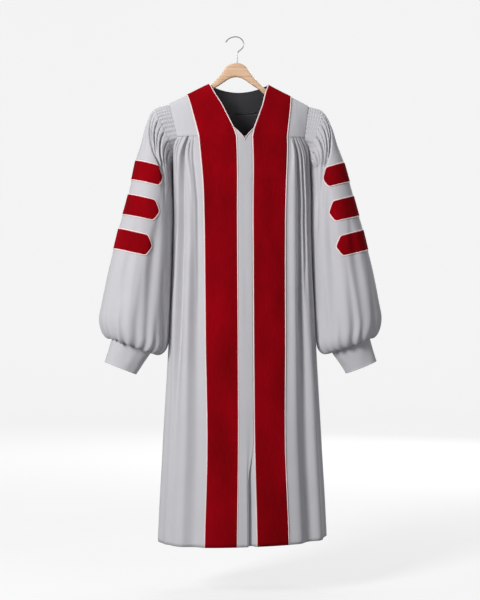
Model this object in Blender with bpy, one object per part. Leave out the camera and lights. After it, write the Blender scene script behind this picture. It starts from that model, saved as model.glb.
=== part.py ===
"""A doctoral graduation gown on a wooden hanger, in metres, +Z up.

The gown's front faces -Y. The origin is the underside of the hook's top bend, where the
hanger rests on its rail. Every piece of cloth is a thin wall laid on a surface that is
worked out from the gown's measurements, so neighbouring pieces share one form.
"""
import math
from collections import namedtuple

import bmesh
import bpy
from mathutils import Vector

MM = 0.001

# Driving sizes of the gown, in millimetres
CLOTH = 1.5
VELVET = 2.0
CORD_HEIGHT = 2.4
V_CORD_WIDTH = 4.2
V_CORD_HEIGHT = 1.5
SEAM_GAP = 0.4
LAY_GAP = 0.5
BAR_GAP = 0.9
BAR_HALF = 0.50
BAR_INSET = 0.85
BAR_TIP = (0.13, 0.52)
TIP_OFF = (0.9, 1.9)
BAR_END = 0.45
CORD_OUT = 0.06
CORD_PULL = 0.30
CORD_TIP = 1.5
CORD_INNER = 0.03
CORD_OUTER = 0.97
UNDERARM_CLEAR = 2.2
UNDERARM_START = 15.0
UNDERARM_GROW = 40.0
SECTION_POWER = 2.4
HEM_LEAN = 0.018
HEM_DIP = 8.0

NECK_X = 81.0
NECK_Z = -133.0
SHOULDER_X = 194.5
RIDGE_SLOPE = 0.50
BACK_NECK_DROP = 17.0
VELVET_X = 146.0
YOKE_FALL_POWER = 1.5
V_FALL_POWER = 1.15
V_CORNER_PART = 0.85
TWIST = 5.5
TWIST_TOP_Z = -150.0
TWIST_GROW = 50.0
TWIST_LOW_Z = -290.0
TWIST_FADE = 200.0
YOKE_Z = -283.0
YOKE_END_X = 177.0
YOKE_RIDGE_WIDTH = 212.0
UNDERARM_Z = -345.0
HEM_Z = -1399.0
HEM_START_Z = -900.0
SLIP_TOP = 6.0
SLIP_LOW = 17.0
SLIP_FALL = 350.0
V_CORNER = (26.0, -261.0)
V_BOTTOM_Z = -290.0
FACING_ROW = 3.55
OVERLAP_X = 3.0
SLIT_TOP_Z = -1110.0
SLIT_DEPTH = 12.0
SLIT_SINK = 160.0
SLIT_OPEN = 120.0
SEAM_ROW = 0.04
VELVET_INSET = 0.22
CORD_COLUMNS = 0.19
YOKE_SIDE_START = 7
YOKE_INSET = 0.30
SIDE_INSET = 0.06
BACK_YOKE_INSET = 0.004
BACK_INSET = 0.006
PLEAT_START = 0.35
PLEAT_GROW = 90.0
PLEAT_DRIFT = 220.0
PLEAT_FADE = 0.85

# Columns over the front: the placket edge, then the velvet, then the cloth to the side seam
PLACKET_COLUMNS = 2
VELVET_COLUMNS = 5
SIDE_COLUMNS = 10
YOKE_ROWS = 6
STRIP_V_ROWS = 6
STRIP_V_END = 0.84
BACK_COLUMNS = 30
BACK_YOKE_COLUMNS = 20
SLEEVE_COLUMNS = 36
FLUTES = 36
FLUTE_RISE = 2.2
FLUTE_SPREAD = 0.75
FLUTE_START = 0.5
FLUTE_END = 0.97
CUFF_GATHERS = 18
CUFF_COLUMNS = 20

Section = namedtuple("Section", "z half_width depth velvet_edge placket_half")
SECTIONS = (
    Section(-283, 190.0, 62.0, 124.5, 20.0),
    Section(-427, 191.5, 67.0, 116.5, 19.5),
    Section(-567, 193.0, 72.0, 113.5, 19.5),
    Section(-861, 206.0, 86.0, 112.0, 19.5),
    Section(-1127, 221.0, 101.0, 109.0, 20.5),
    Section(-1399, 235.0, 118.0, 117.0, 25.0),
)

BODY_ROWS = (-283, -304, -325, -345, -420, -500, -600, -710, -830, -960, -1100, -1240, -1399)

# A pleat is a soft trough from the yoke seam down: its column at the seam and lower down,
# its half width in columns, its depth, and the height where it has faded out
Pleat = namedtuple("Pleat", "column low_column reach depth fade_z")
FRONT_PLEATS = {
    -1: (
        Pleat(13.0, 10.2, 1.7, 7.5, -1000),
        Pleat(9.8, 6.6, 1.3, 6.0, -1399),
        Pleat(12.6, 12.8, 1.4, 3.0, -1399),
    ),
    1: (
        Pleat(11.0, 8.5, 1.6, 7.5, -1100),
        Pleat(13.2, 11.4, 1.3, 6.0, -950),
        Pleat(9.4, 9.8, 1.4, 3.0, -1399),
    ),
}
BACK_PLEATS = (
    Pleat(0.12, 0.12, 0.045, 4.0, -1300),
    Pleat(0.28, 0.28, 0.050, 7.0, -1399),
    Pleat(0.45, 0.45, 0.050, 6.0, -1399),
    Pleat(0.60, 0.60, 0.055, 8.0, -1399),
    Pleat(0.76, 0.76, 0.050, 7.0, -1250),
    Pleat(0.88, 0.88, 0.045, 5.0, -1000),
)

# A sleeve's sections from the armhole seam to the cuff seam: the outer and the inner end
# of each ring, its half depth, how far it stands forward, how far it has left the armhole's
# form, and the heights of the folds from the head and of the gathers at the cuff
Ring = namedtuple("Ring", "outer_x outer_z inner_x inner_z depth forward round fold gather")
RINGS = (
    Ring(194.5, -193.5, 191.0, -345.0, 30.0, 0.0, 0.00, 0.0, 0.0),
    Ring(236.0, -207.0, 198.0, -350.0, 36.0, 0.0, 0.55, 1.5, 0.0),
    Ring(260.0, -248.0, 201.5, -354.0, 43.0, 1.0, 0.85, 5.0, 0.0),
    Ring(276.0, -300.0, 203.5, -361.0, 48.0, 2.0, 1.00, 6.0, 0.0),
    Ring(292.7, -347.0, 204.0, -373.0, 52.0, 3.0, 1.00, 4.5, 0.0),
    Ring(307.5, -405.0, 204.0, -431.0, 55.0, 4.0, 1.00, 3.0, 0.0),
    Ring(317.0, -441.0, 204.0, -470.0, 58.0, 5.0, 1.00, 2.0, 0.0),
    Ring(333.5, -501.0, 204.0, -530.0, 61.0, 6.0, 1.00, 1.0, 0.0),
    Ring(344.0, -536.0, 204.0, -571.0, 64.0, 7.0, 1.00, 0.5, 0.0),
    Ring(359.0, -596.0, 204.5, -632.0, 67.0, 8.0, 1.00, 0.0, 0.0),
    Ring(373.0, -655.0, 206.0, -692.0, 70.0, 9.0, 1.00, 0.0, 0.0),
    Ring(388.0, -735.0, 208.0, -765.0, 73.0, 10.0, 1.00, 0.0, 0.8),
    Ring(395.0, -784.0, 211.0, -825.0, 72.0, 10.0, 1.00, 0.0, 2.5),
    Ring(388.0, -817.0, 217.0, -862.0, 66.0, 10.0, 1.00, 0.0, 4.5),
    Ring(375.0, -835.0, 234.0, -880.0, 53.0, 10.0, 1.00, 0.0, 5.0),
    Ring(361.0, -836.0, 257.0, -877.0, 35.0, 10.0, 1.00, 0.0, 2.0),
)
HEAD_FOLDS = 9
RIGHT_SWING = 6.0
SWING_OUT_STEP = 5.0
SWING_IN_STEP = 11.5

# The back of a sleeve's inner side rests close to the body, between two of its rings
REST_GAP = 1.8
REST_ANGLE = math.radians(204)
REST_REACH = math.radians(34)
REST_HOLD = 1.6
REST_RINGS = (2.2, 3.8, 11.5, 13.0)
FOLD_HEIGHTS = (1.0, 0.6, 0.9, 0.5, 0.2, 0.3, 0.8, 0.6, 0.9)

CuffRing = namedtuple("CuffRing", "outer_x outer_z inner_x inner_z depth forward")
CUFF_RINGS = (
    CuffRing(361.4, -838.2, 257.6, -879.2, 34.0, 10.0),
    CuffRing(383.0, -907.0, 299.0, -940.0, 30.0, 10.0),
)

# The three bars on a sleeve: the rings that they lie between and their half span in columns
Bar = namedtuple("Bar", "top bottom half_span")
BARS = (Bar(4, 5, 13), Bar(6, 7, 12), Bar(8, 9, 11))

# The hanger, in millimetres: its arms' top line and height, station by station
Arm = namedtuple("Arm", "x top height thickness")
ARMS = (
    Arm(0, -71, 40.5, 12), Arm(12, -73, 40.5, 12), Arm(24, -79, 40, 12), Arm(34, -90, 36, 12),
    Arm(43, -104, 28, 12), Arm(52, -115, 23, 12), Arm(62, -125, 19, 11), Arm(75, -138, 18, 10),
    Arm(94, -150, 19, 9), Arm(130, -168, 16, 8), Arm(168, -188, 12, 6),
)
HANGER_X = -0.5
ARM_SIDES = 8
WIRE = 3.4
HOOK_LINE = (
    (-30.8, -14.6), (-23.5, -6.0), (-14.0, -0.3), (-2.5, 1.7), (8.5, -0.8), (16.6, -7.8),
    (20.2, -17.6), (18.0, -27.5), (11.0, -35.0), (4.6, -40.5), (2.6, -47.0), (2.5, -70.3),
)

# Finishes: colour, roughness, metallic
Finish = namedtuple("Finish", "colour rough metal")
GREY = Finish((0.53, 0.54, 0.57), 0.85, 0.0)
CRIMSON = Finish((0.30, 0.004, 0.015), 0.90, 0.0)
PALE = Finish((0.80, 0.68, 0.68), 0.60, 0.0)
CHARCOAL = Finish((0.035, 0.035, 0.040), 0.90, 0.0)
WOOD = Finish((0.62, 0.38, 0.19), 0.45, 0.0)
STEEL = Finish((0.72, 0.72, 0.74), 0.20, 1.0)


def clamp(value, low, high):
    return max(low, min(high, value))


def ease(value):
    value = clamp(value, 0.0, 1.0)
    return value * value * (3.0 - 2.0 * value)


def spline(before, start, end, after, part):
    """A smooth curve from start to end, through both."""
    slope_in = (end - before) / 2.0
    slope_out = (after - start) / 2.0
    p2 = part * part
    p3 = p2 * part
    return ((2 * p3 - 3 * p2 + 1) * start + (p3 - 2 * p2 + part) * slope_in
            + (3 * p2 - 2 * p3) * end + (p3 - p2) * slope_out)


def table_at(rows, place, name):
    """A named column of a table, read smoothly at a fractional row."""
    place = clamp(place, 0.0, len(rows) - 1.0)
    index = min(int(place), len(rows) - 2)
    values = [getattr(rows[clamp(index + step, 0, len(rows) - 1)], name) for step in (-1, 0, 1, 2)]
    return spline(*values, place - index)


def section(z, name):
    """A body section's value at height z."""
    z = clamp(z, SECTIONS[-1].z, SECTIONS[0].z)
    index = 0
    while z < SECTIONS[index + 1].z and index < len(SECTIONS) - 2:
        index += 1
    part = (SECTIONS[index].z - z) / (SECTIONS[index].z - SECTIONS[index + 1].z)
    return table_at(SECTIONS, index + part, name)


def sideways(z):
    """How far the gown has slipped along the hanger at height z."""
    return SLIP_TOP + (SLIP_LOW - SLIP_TOP) * ease((NECK_Z - z) / SLIP_FALL)


def place(x, y, z):
    """From the gown's own frame, in millimetres, to the part's frame, in metres.

    The V neck is pulled a little sideways. Towards the hem the cloth hangs lower in front,
    at the back and on the left.
    """
    pull = TWIST * ease((TWIST_TOP_Z - z) / TWIST_GROW) * (1.0 - ease((TWIST_LOW_Z - z) / TWIST_FADE))
    if y < 0.0:
        x += pull * (1.0 - min(1.0, abs(x) / YOKE_END_X) ** 2)
    low = ease((HEM_START_Z - z) / (HEM_START_Z - HEM_Z))
    middle = clamp(abs(y) / section(z, "depth"), 0.0, 1.0)
    return Vector((x + sideways(z), y, z + low * (HEM_LEAN * x - HEM_DIP * middle))) * MM


def place_sleeve(side, spot):
    """A sleeve's point in the part's frame, in metres."""
    return Vector((side * spot.x + sideways(spot.z), spot.y, spot.z)) * MM


def ridge(x):
    """Height of the shoulder line."""
    return NECK_Z - RIDGE_SLOPE * (abs(x) - NECK_X)


def arc_angle(x, z):
    """The angle round the body section where its half width is x."""
    share = clamp(abs(x) / section(z, "half_width"), 0.0, 1.0)
    return math.asin(share ** (SECTION_POWER / 2.0))


def body_ring(angle, z):
    """A point on the body section: how far out and how far from the middle plane."""
    out = section(z, "half_width") * math.sin(angle) ** (2.0 / SECTION_POWER)
    deep = section(z, "depth") * max(math.cos(angle), 0.0) ** (2.0 / SECTION_POWER)
    return out, deep


def side_angle(z):
    """Where the panels end: on the armhole down to the underarm, then on the side seam."""
    start = arc_angle(YOKE_END_X, YOKE_Z)
    part = clamp((YOKE_Z - z) / (YOKE_Z - UNDERARM_Z), 0.0, 1.0)
    return start + (math.pi / 2 - start) * math.sin(part * math.pi / 2)


def yoke_depth(x, z):
    """Distance from the middle plane of the cloth that falls from the shoulder line."""
    top = ridge(x)
    drop = clamp((top - z) / (top - YOKE_Z), 0.0, 1.0)
    width = YOKE_RIDGE_WIDTH + (section(YOKE_Z, "half_width") - YOKE_RIDGE_WIDTH) * drop
    share = clamp(abs(x) / width, 0.0, 1.0)
    full = section(YOKE_Z, "depth") * (1.0 - share ** SECTION_POWER) ** (1.0 / SECTION_POWER)
    return SEAM_GAP + (full - SEAM_GAP) * math.sqrt(drop)


def armhole(z):
    """A point on the armhole seam: how far out and how far from the middle plane."""
    if z > YOKE_Z:
        part = (ridge(SHOULDER_X) - z) / (ridge(SHOULDER_X) - YOKE_Z)
        x = SHOULDER_X + (YOKE_END_X - SHOULDER_X) * part
        return x, yoke_depth(x, z)
    return body_ring(side_angle(z), z)


def v_edge(part):
    """The V neck's edge, from the neck point down to the placket's corner."""
    if part < V_CORNER_PART:
        share = part / V_CORNER_PART
        return (NECK_X + (V_CORNER[0] - NECK_X) * share, NECK_Z + (V_CORNER[1] - NECK_Z) * share)
    share = (part - V_CORNER_PART) / (1.0 - V_CORNER_PART)
    half = section(YOKE_Z, "placket_half")
    return (V_CORNER[0] + (half - V_CORNER[0]) * share, V_CORNER[1] + (YOKE_Z - V_CORNER[1]) * share)


def front_yoke(column, row):
    """The front above the yoke seam. Column 0 is the neck edge and row 0 the shoulder."""
    part = clamp(row / YOKE_ROWS, 0.0, 1.0)
    fall = part ** YOKE_FALL_POWER
    inner = v_edge(part ** V_FALL_POWER)
    edge_x = VELVET_X + (section(YOKE_Z, "velvet_edge") - VELVET_X) * fall
    middle = (edge_x, ridge(VELVET_X) + (YOKE_Z - ridge(VELVET_X)) * fall)
    outer_z = ridge(SHOULDER_X) + (YOKE_Z - ridge(SHOULDER_X)) * fall
    outer = (armhole(outer_z)[0], outer_z)
    if column <= VELVET_COLUMNS:
        share = column / VELVET_COLUMNS
        start, end = inner, middle
    else:
        share = (column - VELVET_COLUMNS) / SIDE_COLUMNS
        start, end = middle, outer
    x = start[0] + (end[0] - start[0]) * share
    z = start[1] + (end[1] - start[1]) * share
    return x, -yoke_depth(x, z), z


def pleats(rows, column, z):
    """How deep the released pleats dip at a column and a height."""
    dip = 0.0
    for pleat in rows:
        middle = pleat.column + (pleat.low_column - pleat.column) * ease((YOKE_Z - z) / PLEAT_DRIFT)
        off = abs(column - middle) / pleat.reach
        if off < 1.0:
            grow = PLEAT_START + (1.0 - PLEAT_START) * ease((YOKE_Z - z) / PLEAT_GROW)
            fade = 1.0 - ease((YOKE_Z - z) / (YOKE_Z - pleat.fade_z)) * PLEAT_FADE
            dip += pleat.depth * (0.5 + 0.5 * math.cos(math.pi * off)) * grow * fade
    return dip


def front_body(side, column, row):
    """The front below the yoke seam. Row counts on from the yoke's rows."""
    z = body_height(row - YOKE_ROWS)
    edge = arc_angle(section(z, "velvet_edge"), z)
    if column <= VELVET_COLUMNS:
        half = section(z, "placket_half")
        if column < 0:
            x = half + (half - OVERLAP_X) * column / PLACKET_COLUMNS
        else:
            x = half + (section(z, "velvet_edge") - half) * column / VELVET_COLUMNS
        out, deep = body_ring(arc_angle(x, z), z)
    else:
        share = (column - VELVET_COLUMNS) / SIDE_COLUMNS
        out, deep = body_ring(edge + (side_angle(z) - edge) * share, z)
    deep -= pleats(FRONT_PLEATS[side], column, z)
    return out, -deep, z


def body_height(row):
    """The height of a fractional row of the body."""
    row = clamp(row, 0.0, len(BODY_ROWS) - 1.0)
    index = min(int(row), len(BODY_ROWS) - 2)
    return BODY_ROWS[index] + (BODY_ROWS[index + 1] - BODY_ROWS[index]) * (row - index)


def front_surface(side):
    """The whole front of one side, shoulder to hem."""
    def point(column, row):
        x, y, z = front_yoke(column, row) if row <= YOKE_ROWS else front_body(side, column, row)
        return place(side * x, y, z)
    return point


def right_front_surface(column, row):
    """The right front sinks behind the placket below the slit's top."""
    x, y, z = front_body(1, column, row)
    if column < 0:
        y += SLIT_DEPTH * ease((SLIT_TOP_Z - z) / SLIT_SINK) * min(1.0, -column)
    return place(x, y, z)


def strip_half(z):
    """Half the strip's width. Above the yoke seam it widens to meet the V's edges."""
    half = section(z, "placket_half")
    return half + (V_CORNER[0] - half) * clamp((z - YOKE_Z) / (V_CORNER[1] - YOKE_Z), 0.0, 1.0)


def placket_point(column, z):
    """A point of the strip over the closure, column -1 to 1 across."""
    half = strip_half(z) - SEAM_GAP
    slit = ease((SLIT_TOP_Z - z) / SLIT_OPEN)
    right = half + (OVERLAP_X + 1.0 - half) * slit
    x = column * (right if column > 0 else half)
    if z > YOKE_Z:
        return place(x, -yoke_depth(x, z), z)
    return place(x, -body_ring(arc_angle(x, z), z)[1], z)


def v_top(column):
    """Height of the V neck where it crosses the placket."""
    return V_BOTTOM_Z + (V_CORNER[1] - V_BOTTOM_Z) * abs(column)


def placket_surface(column, row):
    """The strip over the closure: row 0 on the V and the body's rows from 1 on."""
    if row < 1.0:
        return placket_point(column, v_top(column) + (BODY_ROWS[1] - v_top(column)) * row)
    return placket_point(column, body_height(row))


def v_piping_surface(column, row):
    """The piping along the placket's V top: row 0 to 1 down its width."""
    return placket_point(column, v_top(column) - V_CORD_WIDTH * row)


def back_yoke(column, row):
    """The back above the yoke seam, column -1 to 1 across and row 0 at the neck and shoulder."""
    part = clamp(row / YOKE_ROWS, 0.0, 1.0)
    fall = part ** YOKE_FALL_POWER
    top_x = column * SHOULDER_X
    if abs(top_x) < NECK_X:
        top_z = NECK_Z - BACK_NECK_DROP * (1.0 - (top_x / NECK_X) ** 2)
    else:
        top_z = ridge(top_x)
    z = top_z + (YOKE_Z - top_z) * fall
    x = top_x * armhole(ridge(SHOULDER_X) + (YOKE_Z - ridge(SHOULDER_X)) * fall)[0] / SHOULDER_X
    return place(x, yoke_depth(x, z), z)


def back_body(column, row):
    """The back below the yoke seam, column -1 to 1 from side seam to side seam."""
    z = body_height(row)
    out, deep = body_ring(abs(column) * side_angle(z), z)
    deep -= pleats(BACK_PLEATS, abs(column), z)
    return place(math.copysign(out, column), deep, z)


def sleeve_ring(rows, step, angle, swing_out=0.0, swing_in=0.0):
    """A plain ring of a sleeve or cuff: angle 0 is outside, a right angle is the front.

    The swings bring its outer and inner end nearer to the body.
    """
    outer = Vector((table_at(rows, step, "outer_x") - swing_out, 0.0, table_at(rows, step, "outer_z")))
    inner = Vector((table_at(rows, step, "inner_x") - swing_in, 0.0, table_at(rows, step, "inner_z")))
    across = (outer - inner) / 2.0
    forward = Vector((0.0, -table_at(rows, step, "depth"), 0.0))
    shift = Vector((0.0, -table_at(rows, step, "forward"), 0.0))
    radial = across * math.cos(angle) + forward * math.sin(angle)
    return (outer + inner) / 2.0 + shift + radial, radial.normalized()


def resting(angle, step):
    """How closely a sleeve follows the body's side, from 0 to 1."""
    start, full, loose, end = REST_RINGS
    along = ease((step - start) / (full - start)) * (1.0 - ease((step - loose) / (end - loose)))
    off = abs(angle % (2 * math.pi) - REST_ANGLE) / REST_REACH
    return along * ease(REST_HOLD * (1.0 - off))


def side_of_body(spot):
    """How far out the body's side lies behind or in front of a sleeve's point."""
    deep = clamp(abs(spot.y) / section(spot.z, "depth"), 0.0, 1.0)
    return section(spot.z, "half_width") * (1.0 - deep ** SECTION_POWER) ** (1.0 / SECTION_POWER)


def sleeve_surface(side, relief=True):
    """One sleeve from the armhole, step 0, to the cuff seam."""
    seam_top = ridge(SHOULDER_X)

    def point(angle, step):
        swing = RIGHT_SWING if side > 0 else 0.0
        swing_in = swing * ease((step - SWING_IN_STEP) / (len(RINGS) - 1.0 - SWING_IN_STEP))
        spot, radial = sleeve_ring(RINGS, step, angle, swing * ease(step / SWING_OUT_STEP), swing_in)
        keep = 1.0 - table_at(RINGS, step, "round")
        if keep > 0.0:
            z = (seam_top + UNDERARM_Z) / 2 + (seam_top - UNDERARM_Z) / 2 * math.cos(angle)
            out, deep = armhole(z)
            out += SEAM_GAP + UNDERARM_CLEAR * ease((YOKE_Z + UNDERARM_START - z) / UNDERARM_GROW)
            seam = Vector((out, -deep * math.copysign(1.0, math.sin(angle)), z))
            seam += Vector((table_at(RINGS, step, "outer_x") - SHOULDER_X, 0.0,
                            table_at(RINGS, step, "outer_z") - seam_top)) * ease(0.5 + math.cos(angle) / 2)
            spot = spot.lerp(seam, keep)
        spot.x += (side_of_body(spot) + 2 * CLOTH + REST_GAP - spot.x) * resting(angle, step)
        if relief:
            turn = (angle / (2 * math.pi) * HEAD_FOLDS) % HEAD_FOLDS
            tall = FOLD_HEIGHTS[int(turn + 0.5) % HEAD_FOLDS]
            rise = table_at(RINGS, step, "fold") * tall * (0.5 + 0.5 * math.cos(2 * math.pi * turn))
            rise += table_at(RINGS, step, "gather") * (0.5 + 0.5 * math.cos(CUFF_GATHERS * angle))
            spot = spot + radial * rise
        return place_sleeve(side, spot)
    return point


def cuff_surface(side):
    """One cuff, from its seam to its open end."""
    swing = RIGHT_SWING if side > 0 else 0.0

    def point(angle, step):
        spot = sleeve_ring(CUFF_RINGS, step, angle, swing, swing)[0]
        return place_sleeve(side, spot)
    return point


def normal_of(point, u, v, u_span, v_span, closed):
    """The unit normal of a surface, by small steps that stay inside it."""
    step = 0.001
    u_low, u_high = (u - step, u + step) if closed else (max(u - step, u_span[0]), min(u + step, u_span[1]))
    v_low, v_high = max(v - step, v_span[0]), min(v + step, v_span[1])
    along = point(u_high, v) - point(u_low, v)
    down = point(u, v_high) - point(u, v_low)
    return along.cross(down).normalized()


def shade(name, mesh, finish):
    """Give a mesh its material and add it to the scene."""
    material = bpy.data.materials.get(name) or bpy.data.materials.new(name)
    material.use_nodes = True
    shader = material.node_tree.nodes["Principled BSDF"]
    shader.inputs["Base Color"].default_value = (*finish.colour, 1.0)
    shader.inputs["Roughness"].default_value = finish.rough
    shader.inputs["Metallic"].default_value = finish.metal
    mesh.materials.append(material)
    item = bpy.data.objects.new(name, mesh)
    bpy.context.scene.collection.objects.link(item)
    return item


def finish_shape(shape, name, finish):
    """Turn a closed shape's faces outwards and make it an object."""
    bmesh.ops.recalc_face_normals(shape, faces=shape.faces[:])
    if shape.calc_volume(signed=True) < 0.0:
        bmesh.ops.reverse_faces(shape, faces=shape.faces[:])
    mesh = bpy.data.meshes.new(name)
    shape.to_mesh(mesh)
    shape.free()
    return shade(name, mesh, finish)


def wall(name, finish, point, columns, rows, low, high, facing=1, closed=False, rise=None):
    """A thin wall between two distances, in millimetres, from a surface.

    columns and rows list the surface's coordinates. rise lifts the outer points alone.
    """
    shape = bmesh.new()
    across = len(columns) - (0 if closed else 1)
    down = len(rows) - 1
    bmesh.ops.create_grid(shape, x_segments=across, y_segments=down, size=0.5)
    column_of = shape.verts.layers.int.new("column")
    row_of = shape.verts.layers.int.new("row")
    for vert in shape.verts:
        vert[column_of] = round((vert.co.x + 0.5) * across) % (across if closed else across + 1)
        vert[row_of] = round((vert.co.y + 0.5) * down)
        if closed:
            turn = 2 * math.pi * vert[column_of] / across
            vert.co = Vector((math.cos(turn), math.sin(turn), vert[row_of]))
    if closed:
        bmesh.ops.remove_doubles(shape, verts=shape.verts[:], dist=0.0001)
    made = bmesh.ops.extrude_face_region(shape, geom=shape.faces[:])
    outer = {item for item in made["geom"] if isinstance(item, bmesh.types.BMVert)}
    u_span = (min(columns), max(columns))
    v_span = (min(rows), max(rows))
    for vert in shape.verts:
        u = columns[vert[column_of]]
        v = rows[vert[row_of]]
        normal = normal_of(point, u, v, u_span, v_span, closed) * facing
        lift = low
        if vert in outer:
            lift = high + (rise(u, v) if rise else 0.0)
        vert.co = point(u, v) + normal * (lift * MM)
    return finish_shape(shape, name, finish)


def steps(start, end, count):
    """Evenly spaced values from start to end."""
    return [start + (end - start) * index / count for index in range(count + 1)]


def turns(count):
    """Evenly spaced angles round a tube."""
    return [2 * math.pi * index / count for index in range(count)]


def build_front(side, word):
    """One side's yoke, front panel, velvet and its two lines of piping."""
    surface = front_surface(side)
    last = YOKE_ROWS + len(BODY_ROWS) - 1
    every = VELVET_COLUMNS + SIDE_COLUMNS
    yoke_rows = [0] + steps(1, YOKE_ROWS - 1, YOKE_ROWS - 2) + [YOKE_ROWS - SEAM_ROW]
    yoke_columns = steps(0, VELVET_COLUMNS, VELVET_COLUMNS) + steps(YOKE_SIDE_START, every - YOKE_INSET, 4)
    wall("front_yoke_" + word, GREY, surface, yoke_columns, yoke_rows, 0, CLOTH, -side)
    body_rows = [YOKE_ROWS + SEAM_ROW] + steps(YOKE_ROWS + 1, last, last - YOKE_ROWS - 1)
    body_columns = steps(-PLACKET_COLUMNS, every - 1, every - 1 + PLACKET_COLUMNS) + [every - SIDE_INSET]
    if side > 0:
        wall("front_" + word, GREY, right_front_surface, body_columns, body_rows, 0, CLOTH, -side)
    else:
        wall("front_" + word, GREY, surface, body_columns, body_rows, 0, CLOTH, -side)
    over = CLOTH + LAY_GAP
    full_rows = steps(0, last, last)
    velvet_columns = ([VELVET_INSET] + steps(1, VELVET_COLUMNS - 1, VELVET_COLUMNS - 2)
                      + [VELVET_COLUMNS - VELVET_INSET])
    wall("velvet_" + word, CRIMSON, surface, velvet_columns, full_rows, over, over + VELVET, -side)
    wall("neck_piping_" + word, PALE, surface, [0, CORD_COLUMNS], full_rows, over, over + CORD_HEIGHT, -side)
    edge = [VELVET_COLUMNS - CORD_COLUMNS, VELVET_COLUMNS]
    wall("side_piping_" + word, PALE, surface, edge, full_rows, over, over + CORD_HEIGHT, -side)


def build_placket():
    """The strip over the closure and the piping on its V top."""
    rows = steps(0.0, STRIP_V_END, STRIP_V_ROWS) + steps(1, len(BODY_ROWS) - 1, len(BODY_ROWS) - 2)
    columns = steps(-1, 1, 4)
    over = CLOTH + LAY_GAP
    wall("placket", GREY, placket_surface, columns, rows, over, over + CLOTH, -1)
    on_top = over + CLOTH + LAY_GAP
    wall("v_piping", PALE, v_piping_surface, columns, [0, 1], on_top, on_top + V_CORD_HEIGHT, -1)


def build_back():
    """The back yoke, the facing that shows inside the neck, and the back panel."""
    yoke_rows = [0] + steps(1, YOKE_ROWS - 1, YOKE_ROWS - 2) + [YOKE_ROWS - SEAM_ROW]
    yoke_columns = steps(-1, 1, BACK_YOKE_COLUMNS)
    yoke_columns[0] += BACK_YOKE_INSET
    yoke_columns[-1] -= BACK_YOKE_INSET
    wall("back_yoke", GREY, back_yoke, yoke_columns, yoke_rows, 0, CLOTH, 1)
    facing_columns = steps(-0.4, 0.4, 8)
    facing_rows = steps(0, 3, 3) + [FACING_ROW - SEAM_ROW]
    wall("neck_facing", CHARCOAL, back_yoke, facing_columns, facing_rows,
         -LAY_GAP - CLOTH, -LAY_GAP, 1)
    wall("back_lining", CHARCOAL, back_yoke, facing_columns, [FACING_ROW + SEAM_ROW, 4, 5, YOKE_ROWS],
         -LAY_GAP - CLOTH, -LAY_GAP, 1)
    body_columns = steps(-1, 1, BACK_COLUMNS)
    body_columns[0] += BACK_INSET
    body_columns[-1] -= BACK_INSET
    body_rows = [SEAM_ROW] + steps(1, len(BODY_ROWS) - 1, len(BODY_ROWS) - 2)
    wall("back", GREY, back_body, body_columns, body_rows, 0, CLOTH, 1)


def build_bar(side, word, number, bar):
    """A pointed velvet bar and the piping round it, laid on the sleeve."""
    surface = sleeve_surface(side)
    pitch = 2 * math.pi / SLEEVE_COLUMNS
    middle = (bar.top + bar.bottom) / 2.0

    def bar_surface(column, share):
        off = bar.half_span - abs(column)
        reach = BAR_TIP[0] if off < TIP_OFF[0] else BAR_TIP[1] if off < TIP_OFF[1] else BAR_INSET
        return surface(column * pitch, middle + BAR_HALF * share * reach)

    def frame_surface(turn, share):
        half = bar.half_span + CORD_OUT
        turn = turn % 4.0
        sign = 1.0 if turn < 2.0 else -1.0
        column = sign * (1.0 - turn % 2.0) * half
        off = half - abs(column)
        if off < 0.01:
            column -= math.copysign(CORD_PULL * (1.0 - share), column)
        width = BAR_INSET + CORD_INNER + (CORD_OUTER - BAR_INSET) * share
        reach = clamp(off / CORD_TIP, 0.0, 1.0) * width
        return surface(column * pitch, middle + BAR_HALF * sign * reach)

    over = CLOTH + BAR_GAP
    inner = bar.half_span - BAR_END
    columns = [-inner] + steps(1 - bar.half_span, bar.half_span - 1, 2 * bar.half_span - 2) + [inner]
    wall("bar_%d_%s" % (number, word), CRIMSON, bar_surface, columns, [-1, 1],
         over, over + VELVET, side)
    half = bar.half_span + CORD_OUT
    marks = [0.0] + [1.0 - column / half for column in range(bar.half_span - 1, -bar.half_span, -1)]
    marks += [mark + 2.0 for mark in marks]
    wall("bar_%d_piping_%s" % (number, word), PALE, frame_surface, marks, [0.0, 1.0],
         over, over + CORD_HEIGHT, -side, closed=True)


def build_sleeve(side, word):
    """A fluted head band, a bishop sleeve, its cuff and its three bars."""
    surface = sleeve_surface(side)

    def flute(angle, step):
        index = round(angle / (math.pi / FLUTES))
        height = ease(FLUTE_SPREAD * (1.0 + math.cos(angle)))
        return FLUTE_RISE * height * (index % 2) * (1.0 if step > 0.0 else FLUTE_START)

    plain = sleeve_surface(side, relief=False)
    wall("fluting_" + word, GREY, plain, turns(2 * FLUTES), [0.0, FLUTE_END / 2, FLUTE_END],
         -CLOTH, 0.3, side, closed=True, rise=flute)
    last = len(RINGS) - 1
    wall("sleeve_" + word, GREY, surface, turns(SLEEVE_COLUMNS), [1.02] + steps(2, last, last - 2),
         0, CLOTH, side, closed=True)
    wall("cuff_" + word, GREY, cuff_surface(side), turns(CUFF_COLUMNS), [0.0, 0.5, 1.0],
         0, CLOTH, side, closed=True)
    for number, bar in enumerate(BARS, start=1):
        build_bar(side, word, number, bar)


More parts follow.
